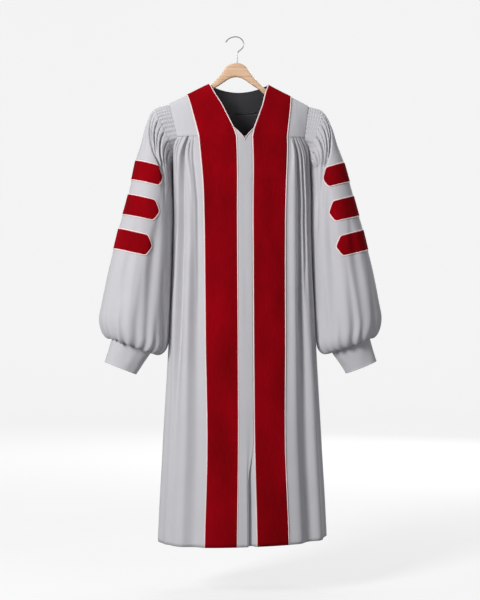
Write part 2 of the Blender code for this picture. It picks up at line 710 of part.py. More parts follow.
def build_hanger():
    """The wooden arms, lofted from rounded sections, and the bent wire hook."""
    stations = [Arm(-arm.x, arm.top, arm.height, arm.thickness) for arm in reversed(ARMS[1:])]
    stations += list(ARMS)
    shape = bmesh.new()
    bmesh.ops.create_circle(shape, cap_ends=True, segments=ARM_SIDES, radius=1.0)
    shape.faces.ensure_lookup_table()
    face = shape.faces[0]
    outline = [vert.co.copy() for vert in face.verts]
    for index, arm in enumerate(stations):
        if index:
            made = bmesh.ops.extrude_face_region(shape, geom=[face])
            if index > 1:
                bmesh.ops.delete(shape, geom=[face], context="FACES_ONLY")
            face = [item for item in made["geom"] if isinstance(item, bmesh.types.BMFace)][0]
        for vert, spot in zip(face.verts, outline):
            squared = 1.0 / max(abs(spot.x), abs(spot.y)) ** 0.6
            y = spot.x * squared * arm.thickness / 2.0
            z = arm.top - arm.height / 2.0 + spot.y * squared * arm.height / 2.0
            vert.co = Vector((arm.x + HANGER_X, y, z)) * MM
    finish_shape(shape, "hanger_arms", WOOD)

    line = bpy.data.curves.new("hanger_hook", "CURVE")
    line.dimensions = "3D"
    line.bevel_depth = WIRE / 2.0 * MM
    line.bevel_resolution = 2
    line.use_fill_caps = True
    path = line.splines.new("POLY")
    path.points.add(len(HOOK_LINE) - 1)
    for spot, (x, z) in zip(path.points, HOOK_LINE):
        spot.co = (x * MM, 0.0, z * MM, 1.0)
    shade("hanger_hook", line, STEEL)


def main():
    for item in list(bpy.data.objects):
        bpy.data.objects.remove(item, do_unlink=True)
    for side, word in ((-1, "left"), (1, "right")):
        build_front(side, word)
        build_sleeve(side, word)
    build_placket()
    build_back()
    build_hanger()


main()
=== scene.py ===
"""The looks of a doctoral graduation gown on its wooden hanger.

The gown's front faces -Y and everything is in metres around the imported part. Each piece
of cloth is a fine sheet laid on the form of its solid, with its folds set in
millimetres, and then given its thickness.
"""
import math
from collections import namedtuple

import bmesh
import bpy
from mathutils import Matrix, Vector, noise


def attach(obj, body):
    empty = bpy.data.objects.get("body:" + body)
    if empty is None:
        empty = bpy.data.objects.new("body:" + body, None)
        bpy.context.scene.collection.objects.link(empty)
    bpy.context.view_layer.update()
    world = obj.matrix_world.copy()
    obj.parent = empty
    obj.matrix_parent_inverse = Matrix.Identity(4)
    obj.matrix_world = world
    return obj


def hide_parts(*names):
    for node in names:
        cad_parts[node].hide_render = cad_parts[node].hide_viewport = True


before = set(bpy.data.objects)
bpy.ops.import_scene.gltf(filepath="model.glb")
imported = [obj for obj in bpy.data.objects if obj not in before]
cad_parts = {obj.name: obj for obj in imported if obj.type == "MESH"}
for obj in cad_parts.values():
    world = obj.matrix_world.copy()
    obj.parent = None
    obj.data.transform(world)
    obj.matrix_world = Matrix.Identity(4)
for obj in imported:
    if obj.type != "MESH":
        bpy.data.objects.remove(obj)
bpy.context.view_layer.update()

MM = 0.001

# Driving sizes of the gown, in millimetres, as in the part
CLOTH = 1.5
VELVET = 1.6
SEAM_GAP = 0.4
UNDERARM_CLEAR = 0.8
SECTION_POWER = 2.4
HEM_LEAN = 0.018
HEM_DIP = 8.0
NECK_X = 81.0
NECK_Z = -133.0
SHOULDER_X = 194.5
VELVET_X = 146.0
RIDGE_SLOPE = 0.50
BACK_NECK_DROP = 17.0
YOKE_FALL_POWER = 1.5
V_FALL_POWER = 1.15
TWIST = 5.5
TWIST_TOP_Z = -150.0
TWIST_GROW = 50.0
TWIST_LOW_Z = -290.0
TWIST_FADE = 200.0
YOKE_Z = -283.0
YOKE_END_X = 177.0
YOKE_RIDGE_WIDTH = 212.0
UNDERARM_Z = -345.0
HEM_Z = -1399.0
HEM_START_Z = -900.0
SLIP_TOP = 6.0
SLIP_LOW = 17.0
SLIP_FALL = 350.0
V_CORNER = (26.0, -261.0)
V_CORNER_PART = 0.85
V_BOTTOM_Z = -290.0
OVERLAP_X = 3.0
SLIT_TOP_Z = -1110.0
SLIT_DEPTH = 12.0
SLIT_SINK = 160.0
SLIT_OPEN = 120.0
HANGER_X = -0.5
WIRE = 3.4

PLACKET_COLUMNS = 2
VELVET_COLUMNS = 5
SIDE_COLUMNS = 10
ALL_COLUMNS = VELVET_COLUMNS + SIDE_COLUMNS
YOKE_ROWS = 6
FLUTES = 36
FLUTE_RISE = 2.2
CUFF_GATHERS = 18

Section = namedtuple("Section", "z half_width depth velvet_edge placket_half")
SECTIONS = (
    Section(-283, 190.0, 62.0, 124.5, 20.0),
    Section(-427, 191.5, 67.0, 116.5, 19.5),
    Section(-567, 193.0, 72.0, 113.5, 19.5),
    Section(-861, 206.0, 86.0, 112.0, 19.5),
    Section(-1127, 221.0, 101.0, 109.0, 20.5),
    Section(-1399, 235.0, 118.0, 117.0, 25.0),
)
BODY_ROWS = (-283, -304, -325, -345, -420, -500, -600, -710, -830, -960, -1100, -1240, -1399)
LAST_ROW = YOKE_ROWS + len(BODY_ROWS) - 1

Ring = namedtuple("Ring", "outer_x outer_z inner_x inner_z depth forward round gather")
RINGS = (
    Ring(194.5, -193.5, 191.0, -345.0, 30.0, 0.0, 0.00, 0.0),
    Ring(236.0, -207.0, 198.0, -350.0, 36.0, 0.0, 0.55, 0.0),
    Ring(260.0, -248.0, 201.5, -354.0, 43.0, 1.0, 0.85, 0.0),
    Ring(276.0, -300.0, 203.5, -361.0, 48.0, 2.0, 1.00, 0.0),
    Ring(292.7, -347.0, 204.0, -373.0, 52.0, 3.0, 1.00, 0.0),
    Ring(307.5, -405.0, 204.0, -431.0, 55.0, 4.0, 1.00, 0.0),
    Ring(317.0, -441.0, 204.0, -470.0, 58.0, 5.0, 1.00, 0.0),
    Ring(333.5, -501.0, 204.0, -530.0, 61.0, 6.0, 1.00, 0.0),
    Ring(344.0, -536.0, 204.0, -571.0, 64.0, 7.0, 1.00, 0.0),
    Ring(359.0, -596.0, 204.5, -632.0, 67.0, 8.0, 1.00, 0.0),
    Ring(373.0, -655.0, 206.0, -692.0, 70.0, 9.0, 1.00, 0.0),
    Ring(388.0, -735.0, 208.0, -765.0, 73.0, 10.0, 1.00, 0.8),
    Ring(395.0, -784.0, 211.0, -825.0, 72.0, 10.0, 1.00, 2.5),
    Ring(388.0, -817.0, 217.0, -862.0, 66.0, 10.0, 1.00, 4.5),
    Ring(375.0, -835.0, 234.0, -880.0, 53.0, 10.0, 1.00, 5.0),
    Ring(361.0, -836.0, 257.0, -877.0, 35.0, 10.0, 1.00, 2.0),
)
LAST_RING = len(RINGS) - 1
RIGHT_SWING = 6.0
SWING_OUT_STEP = 5.0
SWING_IN_STEP = 11.5
REST_GAP = 0.6
REST_ANGLE = math.radians(204)
REST_REACH = math.radians(34)
REST_RINGS = (0.9, 2.4, 11.5, 13.0)

CuffRing = namedtuple("CuffRing", "outer_x outer_z inner_x inner_z depth forward")
CUFF_RINGS = (
    CuffRing(361.4, -838.2, 257.6, -879.2, 34.0, 10.0),
    CuffRing(383.0, -907.0, 299.0, -940.0, 30.0, 10.0),
)

Bar = namedtuple("Bar", "top bottom half_span")
BARS = (Bar(4, 5, 13), Bar(6, 7, 12), Bar(8, 9, 11))
BAR_HALF = 0.50
BAR_COLUMN = math.radians(10)

Arm = namedtuple("Arm", "x top height thickness")
ARMS = (
    Arm(0, -71, 40.5, 12), Arm(12, -73, 40.5, 12), Arm(24, -79, 40, 12), Arm(34, -90, 36, 12),
    Arm(43, -104, 28, 12), Arm(52, -115, 23, 12), Arm(62, -125, 19, 11), Arm(75, -138, 18, 10),
    Arm(94, -150, 19, 9), Arm(130, -168, 16, 8), Arm(168, -188, 12, 6),
)
HOOK_LINE = (
    (-30.8, -14.6), (-23.5, -6.0), (-14.0, -0.3), (-2.5, 1.7), (8.5, -0.8), (16.6, -7.8),
    (20.2, -17.6), (18.0, -27.5), (11.0, -35.0), (4.6, -40.5), (2.6, -47.0), (2.5, -70.3),
)

# A fold is a soft trough, or a ridge where its depth is below zero. It starts at one place
# across the cloth, drifts to another over its fall, and fades out at its end. Places are
# columns on the body and degrees round a sleeve. Its top is in millimetres below the hook's
# seat on the body, and in rings on a sleeve, and so is its fall.
Fold = namedtuple("Fold", "start_at end_at reach depth top fall")
FRONT_FOLDS = {
    -1: (
        Fold(9.1, 10.5, 1.7, 21.0, 281, 900), Fold(6.6, 6.1, 0.6, 7.0, 281, 620),
        Fold(7.7, 7.8, 1.2, -6.0, 290, 800), Fold(12.8, 13.3, 0.9, 10.0, 290, 480),
        Fold(8.0, 7.6, 0.5, 4.0, 281, 260), Fold(11.4, 12.4, 0.7, 6.0, 281, 380),
        Fold(10.6, 10.0, 2.4, 9.0, 620, 1400), Fold(6.4, 6.3, 1.8, 12.0, 520, 4000),
        Fold(8.6, 9.0, 1.9, -5.0, 640, 3000), Fold(13.0, 12.6, 1.6, 5.0, 760, 3000),
    ),
    1: (
        Fold(7.6, 8.3, 0.9, 14.0, 281, 800), Fold(9.0, 9.7, 0.8, 10.0, 281, 560),
        Fold(6.4, 6.5, 1.2, -6.0, 290, 900), Fold(11.6, 12.0, 1.5, 18.0, 281, 900),
        Fold(13.6, 13.9, 0.9, 8.0, 290, 480), Fold(10.2, 10.8, 0.5, 5.0, 281, 320),
        Fold(8.3, 8.2, 1.8, 13.0, 560, 4000), Fold(12.4, 12.6, 2.2, 6.0, 700, 3000),
        Fold(6.4, 6.3, 1.2, -3.0, 700, 3000), Fold(10.6, 10.4, 1.5, -4.0, 760, 3000),
    ),
}
BODY_GROW = 26.0
BODY_SEAM = 310.0
SLEEVE_GROW = 0.5
SLEEVE_SEAM = 1.5
SLOW_GROW = 9.0
BACK_FOLDS = (
    Fold(0.13, 0.11, 0.045, 5.0, 284, 900), Fold(0.29, 0.27, 0.050, 7.5, 284, 1500),
    Fold(0.45, 0.44, 0.050, 6.5, 284, 1300), Fold(0.61, 0.60, 0.055, 8.5, 284, 1600),
    Fold(0.77, 0.76, 0.050, 7.5, 284, 1000), Fold(0.89, 0.89, 0.045, 5.0, 300, 800),
    Fold(-0.10, -0.12, 0.045, 5.5, 284, 1100), Fold(-0.27, -0.28, 0.050, 7.0, 284, 1400),
    Fold(-0.46, -0.45, 0.052, 7.0, 284, 1600), Fold(-0.62, -0.60, 0.055, 8.0, 284, 1200),
    Fold(-0.76, -0.77, 0.050, 7.0, 284, 1500), Fold(-0.88, -0.90, 0.045, 5.0, 300, 700),
    Fold(0.36, 0.35, 0.06, 3.5, 700, 1200), Fold(-0.36, -0.37, 0.06, 3.5, 640, 1200),
    Fold(0.70, 0.68, 0.06, 4.0, 760, 1000), Fold(-0.70, -0.69, 0.06, 4.0, 820, 1000),
)
SLEEVE_FOLDS = {
    -1: (
        Fold(22, 132, 11, 10.0, 1.0, 4.4), Fold(40, 126, 6, 6.5, 1.0, 3.4), Fold(56, 124, 9, 9.5, 1.0, 5.0),
        Fold(72, 122, 5, 5.5, 1.0, 2.8), Fold(86, 134, 9, 11.5, 1.0, 5.6), Fold(108, 142, 7, 8.0, 1.0, 4.0),
        Fold(128, 162, 11, 13.0, 1.0, 7.0), Fold(148, 172, 8, 9.0, 1.0, 5.0), Fold(4, 60, 8, 4.5, 1.0, 2.8),
        Fold(70, 62, 16, 6.1, 6.5, 9.0), Fold(118, 112, 18, 8.6, 5.5, 10.0),
        Fold(94, 96, 12, 7.0, 9.0, 6.2), Fold(44, 46, 14, 6.4, 8.5, 7.0), Fold(140, 144, 14, 8.0, 8.5, 7.0),
    ),
    1: (
        Fold(26, 136, 11, 10.0, 1.0, 4.2), Fold(44, 122, 6, 6.0, 1.0, 3.2), Fold(60, 128, 9, 9.0, 1.0, 4.8),
        Fold(76, 126, 5, 5.5, 1.0, 2.6), Fold(90, 136, 9, 12.0, 1.0, 6.0), Fold(112, 146, 7, 8.5, 1.0, 4.2),
        Fold(130, 160, 11, 13.0, 1.0, 7.5), Fold(150, 174, 8, 9.0, 1.0, 5.0), Fold(8, 66, 8, 4.5, 1.0, 2.6),
        Fold(64, 70, 16, 6.8, 6.0, 9.0), Fold(112, 120, 20, 10.6, 4.2, 11.0),
        Fold(90, 88, 12, 7.0, 8.6, 6.6), Fold(40, 44, 14, 6.4, 9.0, 6.4), Fold(146, 140, 14, 8.0, 9.0, 6.4),
    ),
}
SLEEVE_BACK_FOLDS = (
    Fold(-24, -130, 11, 9.5, 1.0, 4.4), Fold(-58, -126, 9, 9.0, 1.0, 4.6), Fold(-42, -120, 6, 5.5, 1.0, 3.0),
    Fold(-88, -134, 9, 10.5, 1.0, 5.6), Fold(-110, -144, 7, 7.5, 1.0, 4.2),
    Fold(-131, -160, 11, 11.0, 1.0, 7.0),
    Fold(-152, -172, 8, 8.0, 1.0, 5.0), Fold(-66, -60, 16, 5.8, 6.0, 9.0),
    Fold(-116, -112, 18, 8.0, 5.0, 10.5), Fold(-92, -95, 12, 5.8, 8.8, 6.4),
    Fold(-42, -46, 14, 5.8, 8.6, 6.8), Fold(-141, -144, 14, 6.5, 8.8, 6.6),
)

# Small sizes of the sewing, in millimetres
HEM_DEPTH = 30.0
HEM_RISE = 0.5
YOKE_ROLL = 0.5
OVER = 0.25
STRIP_OVER = 1.6
GATHER_REACH = 0.9
SLIT_SHADE = 2.5
V_CORD = 4.6
CORD_HEIGHT = 2.4
BAR_CORD = 4.4
BAR_CORD_HEIGHT = 2.0
BAR_TIP = 17.0
BAR_ROUND = 6.0
FACING_WALL = 1.3
LINING_WALL = 1.1

# Shares of the forms: a cord's width in columns, and the rows of smocking on a sleeve head
CORD_COLUMNS = 0.21
CORD_SIDES = 6
STITCH_ROWS = (0.10, 0.25, 0.40, 0.55, 0.70, 0.85)
STITCH_PULL = 0.022

# The flat size of each sheet's cut, in metres: its width, its length and its area
Cut = namedtuple("Cut", "width length area")

# The stage, the camera and the lights, in metres, degrees and watts
FLOOR_Z = -1.556
FLOOR_FLAT = 6.0
COVE = 2.5
FLOOR_REACH = 13.0
VIEW_AZIMUTH = -6.0
VIEW_DISTANCE = 4.0
VIEW_Z = -0.735
AIM_X = 0.0098
FLOOR_GLOW = {"From Min": 1.6, "From Max": 4.4, "To Min": 0.67, "To Max": 0.81}
WORLD_STRENGTH = 0.20
SENSOR = 36.0
LENS = 85.714
Lamp = namedtuple("Lamp", "name place aim size power")
LIGHTS = (
    Lamp("key_left", (-2.7, -2.95, 0.9), (0.0, 0.0, -0.8), (1.0, 1.6), 170.0),
    Lamp("fill_right", (2.8, -2.8, 0.2), (0.0, 0.0, -0.8), (1.6, 1.8), 11.0),
    Lamp("back", (1.8, 3.6, 0.6), (0.0, 0.0, -0.8), (2.4, 2.4), 60.0),
    Lamp("top", (0.0, 0.4, 2.2), (0.0, 0.1, -1.0), (1.8, 1.2), 24.0),
)


def clamp(value, low, high):
    return max(low, min(high, value))


def ease(value):
    value = clamp(value, 0.0, 1.0)
    return value * value * (3.0 - 2.0 * value)


def spline(before, start, end, after, part):
    """A smooth curve from start to end, through both."""
    slope_in = (end - before) / 2.0
    slope_out = (after - start) / 2.0
    p2 = part * part
    p3 = p2 * part
    return ((2 * p3 - 3 * p2 + 1) * start + (p3 - 2 * p2 + part) * slope_in
            + (3 * p2 - 2 * p3) * end + (p3 - p2) * slope_out)


def table_at(rows, place_in_table, name):
    """A named column of a table, read smoothly at a fractional row."""
    spot = clamp(place_in_table, 0.0, len(rows) - 1.0)
    index = min(int(spot), len(rows) - 2)
    values = [getattr(rows[clamp(index + step, 0, len(rows) - 1)], name) for step in (-1, 0, 1, 2)]
    return spline(*values, spot - index)


def section(z, name):
    """A body section's value at height z."""
    z = clamp(z, SECTIONS[-1].z, SECTIONS[0].z)
    index = 0
    while z < SECTIONS[index + 1].z and index < len(SECTIONS) - 2:
        index += 1
    part = (SECTIONS[index].z - z) / (SECTIONS[index].z - SECTIONS[index + 1].z)
    return table_at(SECTIONS, index + part, name)


def sideways(z):
    """How far the gown has slipped along the hanger at height z."""
    return SLIP_TOP + (SLIP_LOW - SLIP_TOP) * ease((NECK_Z - z) / SLIP_FALL)


def place(x, y, z):
    """From the gown's own frame, in millimetres, to the part's frame, in metres."""
    pull = TWIST * ease((TWIST_TOP_Z - z) / TWIST_GROW) * (1.0 - ease((TWIST_LOW_Z - z) / TWIST_FADE))
    if y < 0.0:
        x += pull * (1.0 - min(1.0, abs(x) / YOKE_END_X) ** 2)
    low = ease((HEM_START_Z - z) / (HEM_START_Z - HEM_Z))
    middle = clamp(abs(y) / section(z, "depth"), 0.0, 1.0)
    return Vector((x + sideways(z), y, z + low * (HEM_LEAN * x - HEM_DIP * middle))) * MM


def place_sleeve(side, spot):
    """A sleeve's point in the part's frame, in metres."""
    return Vector((side * spot.x + sideways(spot.z), spot.y, spot.z)) * MM


def ridge(x):
    """Height of the shoulder line."""
    return NECK_Z - RIDGE_SLOPE * (abs(x) - NECK_X)


def arc_angle(x, z):
    """The angle round the body section where its half width is x."""
    share = clamp(abs(x) / section(z, "half_width"), 0.0, 1.0)
    return math.asin(share ** (SECTION_POWER / 2.0))


def body_ring(angle, z):
    """A point on the body section: how far out and how far from the middle plane."""
    out = section(z, "half_width") * math.sin(angle) ** (2.0 / SECTION_POWER)
    deep = section(z, "depth") * max(math.cos(angle), 0.0) ** (2.0 / SECTION_POWER)
    return out, deep


def side_angle(z):
    """Where the panels end: on the armhole down to the underarm, then on the side seam."""
    start = arc_angle(YOKE_END_X, YOKE_Z)
    part = clamp((YOKE_Z - z) / (YOKE_Z - UNDERARM_Z), 0.0, 1.0)
    return start + (math.pi / 2 - start) * math.sin(part * math.pi / 2)


def yoke_depth(x, z):
    """Distance from the middle plane of the cloth that falls from the shoulder line."""
    top = ridge(x)
    drop = clamp((top - z) / (top - YOKE_Z), 0.0, 1.0)
    width = YOKE_RIDGE_WIDTH + (section(YOKE_Z, "half_width") - YOKE_RIDGE_WIDTH) * drop
    share = clamp(abs(x) / width, 0.0, 1.0)
    full = section(YOKE_Z, "depth") * (1.0 - share ** SECTION_POWER) ** (1.0 / SECTION_POWER)
    return SEAM_GAP + (full - SEAM_GAP) * math.sqrt(drop)


def armhole(z):
    """A point on the armhole seam: how far out and how far from the middle plane."""
    if z > YOKE_Z:
        part = (ridge(SHOULDER_X) - z) / (ridge(SHOULDER_X) - YOKE_Z)
        x = SHOULDER_X + (YOKE_END_X - SHOULDER_X) * part
        return x, yoke_depth(x, z)
    return body_ring(side_angle(z), z)


def v_edge(part):
    """The V neck's edge, from the neck point down to the placket's corner."""
    if part < V_CORNER_PART:
        share = part / V_CORNER_PART
        return (NECK_X + (V_CORNER[0] - NECK_X) * share, NECK_Z + (V_CORNER[1] - NECK_Z) * share)
    share = (part - V_CORNER_PART) / (1.0 - V_CORNER_PART)
    half = section(YOKE_Z, "placket_half")
    return (V_CORNER[0] + (half - V_CORNER[0]) * share, V_CORNER[1] + (YOKE_Z - V_CORNER[1]) * share)


def front_yoke(column, row):
    """The front above the yoke seam. Column 0 is the neck edge and row 0 the shoulder."""
    part = clamp(row / YOKE_ROWS, 0.0, 1.0)
    fall = part ** YOKE_FALL_POWER
    inner = v_edge(part ** V_FALL_POWER)
    edge_x = VELVET_X + (section(YOKE_Z, "velvet_edge") - VELVET_X) * fall
    middle = (edge_x, ridge(VELVET_X) + (YOKE_Z - ridge(VELVET_X)) * fall)
    outer_z = ridge(SHOULDER_X) + (YOKE_Z - ridge(SHOULDER_X)) * fall
    outer = (armhole(outer_z)[0], outer_z)
    if column <= VELVET_COLUMNS:
        share = column / VELVET_COLUMNS
        start, end = inner, middle
    else:
        share = (column - VELVET_COLUMNS) / SIDE_COLUMNS
        start, end = middle, outer
    x = start[0] + (end[0] - start[0]) * share
    z = start[1] + (end[1] - start[1]) * share
    return x, -yoke_depth(x, z), z


def body_height(row):
    """The height of a fractional row of the body."""
    row = clamp(row, 0.0, len(BODY_ROWS) - 1.0)
    index = min(int(row), len(BODY_ROWS) - 2)
    return BODY_ROWS[index] + (BODY_ROWS[index + 1] - BODY_ROWS[index]) * (row - index)


def row_at(z):
    """The fractional row of the body at a height."""
    for index in range(len(BODY_ROWS) - 1):
        if z >= BODY_ROWS[index + 1]:
            return index + (BODY_ROWS[index] - z) / (BODY_ROWS[index] - BODY_ROWS[index + 1])
    return len(BODY_ROWS) - 1.0


def front_body(column, row):
    """The front below the yoke seam. Row counts on from the yoke's rows."""
    z = body_height(row - YOKE_ROWS)
    if column <= VELVET_COLUMNS:
        half = section(z, "placket_half")
        if column < 0:
            x = half + (half - OVERLAP_X) * column / PLACKET_COLUMNS
        else:
            x = half + (section(z, "velvet_edge") - half) * column / VELVET_COLUMNS
        out, deep = body_ring(arc_angle(x, z), z)
    else:
        edge = arc_angle(section(z, "velvet_edge"), z)
        share = (column - VELVET_COLUMNS) / SIDE_COLUMNS
        out, deep = body_ring(edge + (side_angle(z) - edge) * share, z)
    return out, -deep, z


def front_surface(side):
    """The whole front of one side, shoulder to hem."""
    def point(column, row):
        x, y, z = front_yoke(column, row) if row <= YOKE_ROWS else front_body(column, row)
        return place(side * x, y, z)
    return point


def right_front_surface(column, row):
    """The right front sinks behind the placket below the slit's top."""
    x, y, z = front_body(column, row)
    if column < 0:
        y += SLIT_DEPTH * ease((SLIT_TOP_Z - z) / SLIT_SINK) * min(1.0, -column)
    return place(x, y, z)


def strip_half(z):
    """Half the strip's width. Above the yoke seam it widens to meet the V's edges."""
    half = section(z, "placket_half")
    return half + (V_CORNER[0] - half) * clamp((z - YOKE_Z) / (V_CORNER[1] - YOKE_Z), 0.0, 1.0)


def placket_point(column, z):
    """A point of the strip over the closure, column -1 to 1 across."""
    half = strip_half(z) - SEAM_GAP
    slit = ease((SLIT_TOP_Z - z) / SLIT_OPEN)
    right = half + (OVERLAP_X + 1.0 - half) * slit
    x = column * (right if column > 0 else half)
    if z > YOKE_Z:
        return place(x, -yoke_depth(x, z), z)
    return place(x, -body_ring(arc_angle(x, z), z)[1], z)


def v_top(column):
    """Height of the V neck where it crosses the placket."""
    return V_BOTTOM_Z + (V_CORNER[1] - V_BOTTOM_Z) * abs(column)


def placket_surface(column, row):
    """The strip over the closure: row 0 on the V and the body's rows from 1 on."""
    if row < 1.0:
        return placket_point(column, v_top(column) + (BODY_ROWS[1] - v_top(column)) * row)
    return placket_point(column, body_height(row))


def back_yoke(column, row):
    """The back above the yoke seam, column -1 to 1 across and row 0 at the neck and shoulder."""
    part = clamp(row / YOKE_ROWS, 0.0, 1.0)
    fall = part ** YOKE_FALL_POWER
    top_x = column * SHOULDER_X
    if abs(top_x) < NECK_X:
        top_z = NECK_Z - BACK_NECK_DROP * (1.0 - (top_x / NECK_X) ** 2)
    else:
        top_z = ridge(top_x)
    z = top_z + (YOKE_Z - top_z) * fall
    x = top_x * armhole(ridge(SHOULDER_X) + (YOKE_Z - ridge(SHOULDER_X)) * fall)[0] / SHOULDER_X
    return place(x, yoke_depth(x, z), z)


def back_body(column, row):
    """The back below the yoke seam, column -1 to 1 from side seam to side seam."""
    z = body_height(row)
    out, deep = body_ring(abs(column) * side_angle(z), z)
    return place(math.copysign(out, column), deep, z)


def sleeve_ring(rows, step, angle, swing_out=0.0, swing_in=0.0):
    """A plain ring of a sleeve or cuff: angle 0 is outside, a right angle is the front."""
    outer = Vector((table_at(rows, step, "outer_x") - swing_out, 0.0, table_at(rows, step, "outer_z")))
    inner = Vector((table_at(rows, step, "inner_x") - swing_in, 0.0, table_at(rows, step, "inner_z")))
    across = (outer - inner) / 2.0
    forward = Vector((0.0, -table_at(rows, step, "depth"), 0.0))
    shift = Vector((0.0, -table_at(rows, step, "forward"), 0.0))
    return (outer + inner) / 2.0 + shift + across * math.cos(angle) + forward * math.sin(angle)


def resting(angle, step):
    """How closely a sleeve follows the body's side, from 0 to 1."""
    start, full, loose, end = REST_RINGS
    along = ease((step - start) / (full - start)) * (1.0 - ease((step - loose) / (end - loose)))
    off = abs(angle % (2 * math.pi) - REST_ANGLE) / REST_REACH
    return along * ease(1.6 * (1.0 - off))


def side_of_body(spot):
    """How far out the body's side lies behind or in front of a sleeve's point."""
    deep = clamp(abs(spot.y) / section(spot.z, "depth"), 0.0, 1.0)
    return section(spot.z, "half_width") * (1.0 - deep ** SECTION_POWER) ** (1.0 / SECTION_POWER)


def sleeve_surface(side):
    """One sleeve's plain form from the armhole, step 0, to the cuff seam."""
    seam_top = ridge(SHOULDER_X)

    def point(angle, step):
        swing = RIGHT_SWING if side > 0 else 0.0
        swing_in = swing * ease((step - SWING_IN_STEP) / (LAST_RING - SWING_IN_STEP))
        spot = sleeve_ring(RINGS, step, angle, swing * ease(step / SWING_OUT_STEP), swing_in)
        keep = 1.0 - table_at(RINGS, step, "round")
        if keep > 0.0:
            z = (seam_top + UNDERARM_Z) / 2 + (seam_top - UNDERARM_Z) / 2 * math.cos(angle)
            out, deep = armhole(z)
            out += SEAM_GAP + UNDERARM_CLEAR * ease((YOKE_Z + 15.0 - z) / 40.0)
            seam = Vector((out, -deep * math.copysign(1.0, math.sin(angle)), z))
            seam += Vector((table_at(RINGS, step, "outer_x") - SHOULDER_X, 0.0,
                            table_at(RINGS, step, "outer_z") - seam_top)) * ease(0.5 + math.cos(angle) / 2)
            spot = spot.lerp(seam, keep)
        spot.x += (side_of_body(spot) + 2 * CLOTH + REST_GAP - spot.x) * resting(angle, step)
        return place_sleeve(side, spot)
    return point


def cuff_surface(side):
    """One cuff, from its seam to its open end."""
    swing = RIGHT_SWING if side > 0 else 0.0

    def point(angle, step):
        return place_sleeve(side, sleeve_ring(CUFF_RINGS, step, angle, swing, swing))
    return point


def drift(scale, *place_on_cloth):
    """A slow uneven drift between -1 and 1, the same on every run."""
    return noise.noise(Vector(place_on_cloth) / scale)


def dip(folds, place_across, fallen, grow, seam):
    """How deep the folds dip, in millimetres, at a place and a height or ring.

    A fold sewn in at a seam starts sharply, over the distance grow. One that starts below
    the height or ring called seam grows slowly.
    """
    total = 0.0
    for fold in folds:
        down = (fallen - fold.top) / fold.fall
        if not 0.0 < down < 1.0:
            continue
        since = (fallen - fold.top) / grow
        middle = fold.start_at + (fold.end_at - fold.start_at) * ease(since / 8.0)
        reach = fold.reach * (0.40 + 0.60 * ease(since / 5.0))
        off = abs(place_across - middle) / reach
        if off < 1.0:
            start = ease(0.25 + since) if fold.top < seam else ease(since / SLOW_GROW)
            strength = start * (1.0 - ease((down - 0.30) / 0.70))
            sharp = 1.0 + 0.5 * (1.0 - ease(since / 6.0))
            total += fold.depth * strength * (0.5 + 0.5 * math.cos(math.pi * off)) ** sharp
    return total


def front_relief(side):
    """How far one side's front stands off its plain form, in millimetres."""
    def lift(column, row):
        z = body_height(row - YOKE_ROWS)
        if row <= YOKE_ROWS:
            slack = 0.5 * drift(2.2, column, row, side)
            return CLOTH + slack * ease((YOKE_ROWS - row) / 2.0)
        deep = dip(FRONT_FOLDS[side], column, -z, BODY_GROW, BODY_SEAM) if column > 0 else 0.0
        wave = 1.6 * drift(3.1, column, z / 160.0, side) * ease((YOKE_Z - z) / 300.0)
        calm = ease((column - VELVET_COLUMNS + 0.6) / 1.2) * ease((ALL_COLUMNS - column) / 1.3)
        return CLOTH - deep * calm + wave * calm
    return lift


def back_relief(column, row):
    """How far the back stands off its plain form, in millimetres."""
    z = body_height(row)
    wave = 2.2 * drift(0.4, column, z / 900.0, 3.0) * ease((YOKE_Z - z) / 300.0)
    calm = ease((1.0 - abs(column)) / 0.06)
    return CLOTH - (dip(BACK_FOLDS, column, -z, BODY_GROW, BODY_SEAM) - wave) * calm


def sleeve_relief(side):
    """How far one sleeve stands off its plain form, in millimetres."""
    folds = SLEEVE_FOLDS[side] + SLEEVE_BACK_FOLDS

    def lift(angle, step):
        degrees = (math.degrees(angle) + 180.0) % 360.0 - 180.0
        deep = dip(folds, degrees, step, SLEEVE_GROW, SLEEVE_SEAM)
        crowd = 0.5 + 0.5 * math.cos(CUFF_GATHERS * angle + 1.4 * drift(0.5, degrees / 60.0, side, 0.0))
        uneven = 0.75 + 0.9 * drift(0.6, degrees / 50.0, 4.0, side)
        gathers = (table_at(RINGS, step, "gather") + GATHER_REACH * ease((step - 9.5) / 3.0)) * crowd * uneven
        gathers *= ease((LAST_RING - step) / 0.5 + 0.3)
        released = 0.8 * ease((step - 0.9) / 0.3) * (1.0 - ease((step - 1.15) / 0.8))
        released *= 0.5 + 0.5 * math.cos(FLUTES * angle)
        released *= ease(0.75 + 0.75 * math.cos(angle))
        slack = 1.5 * drift(0.9, math.cos(angle), math.sin(angle), step / 3.0) * ease((step - 2.0) / 4.0)
        return CLOTH - deep + gathers + released + slack
    return lift


def steps(start, end, count):
    """Evenly spaced values from start to end."""
    return [start + (end - start) * index / count for index in range(count + 1)]


def turns(count):
    """Evenly spaced angles round a tube."""
    return [2 * math.pi * index / count for index in range(count)]


def body_rows(first=0.0, last=LAST_ROW - YOKE_ROWS):
    """Rows down the body, close together under the yoke seam and wider towards the hem."""
    top, bottom = body_height(first), body_height(last)
    heights = [top]
    while heights[-1] > bottom + 6.0:
        fallen = YOKE_Z - heights[-1]
        heights.append(heights[-1] - clamp(2.0 + fallen / 25.0, 2.5, 8.0))
    heights[-1] = bottom
    return [row_at(z) for z in heights]


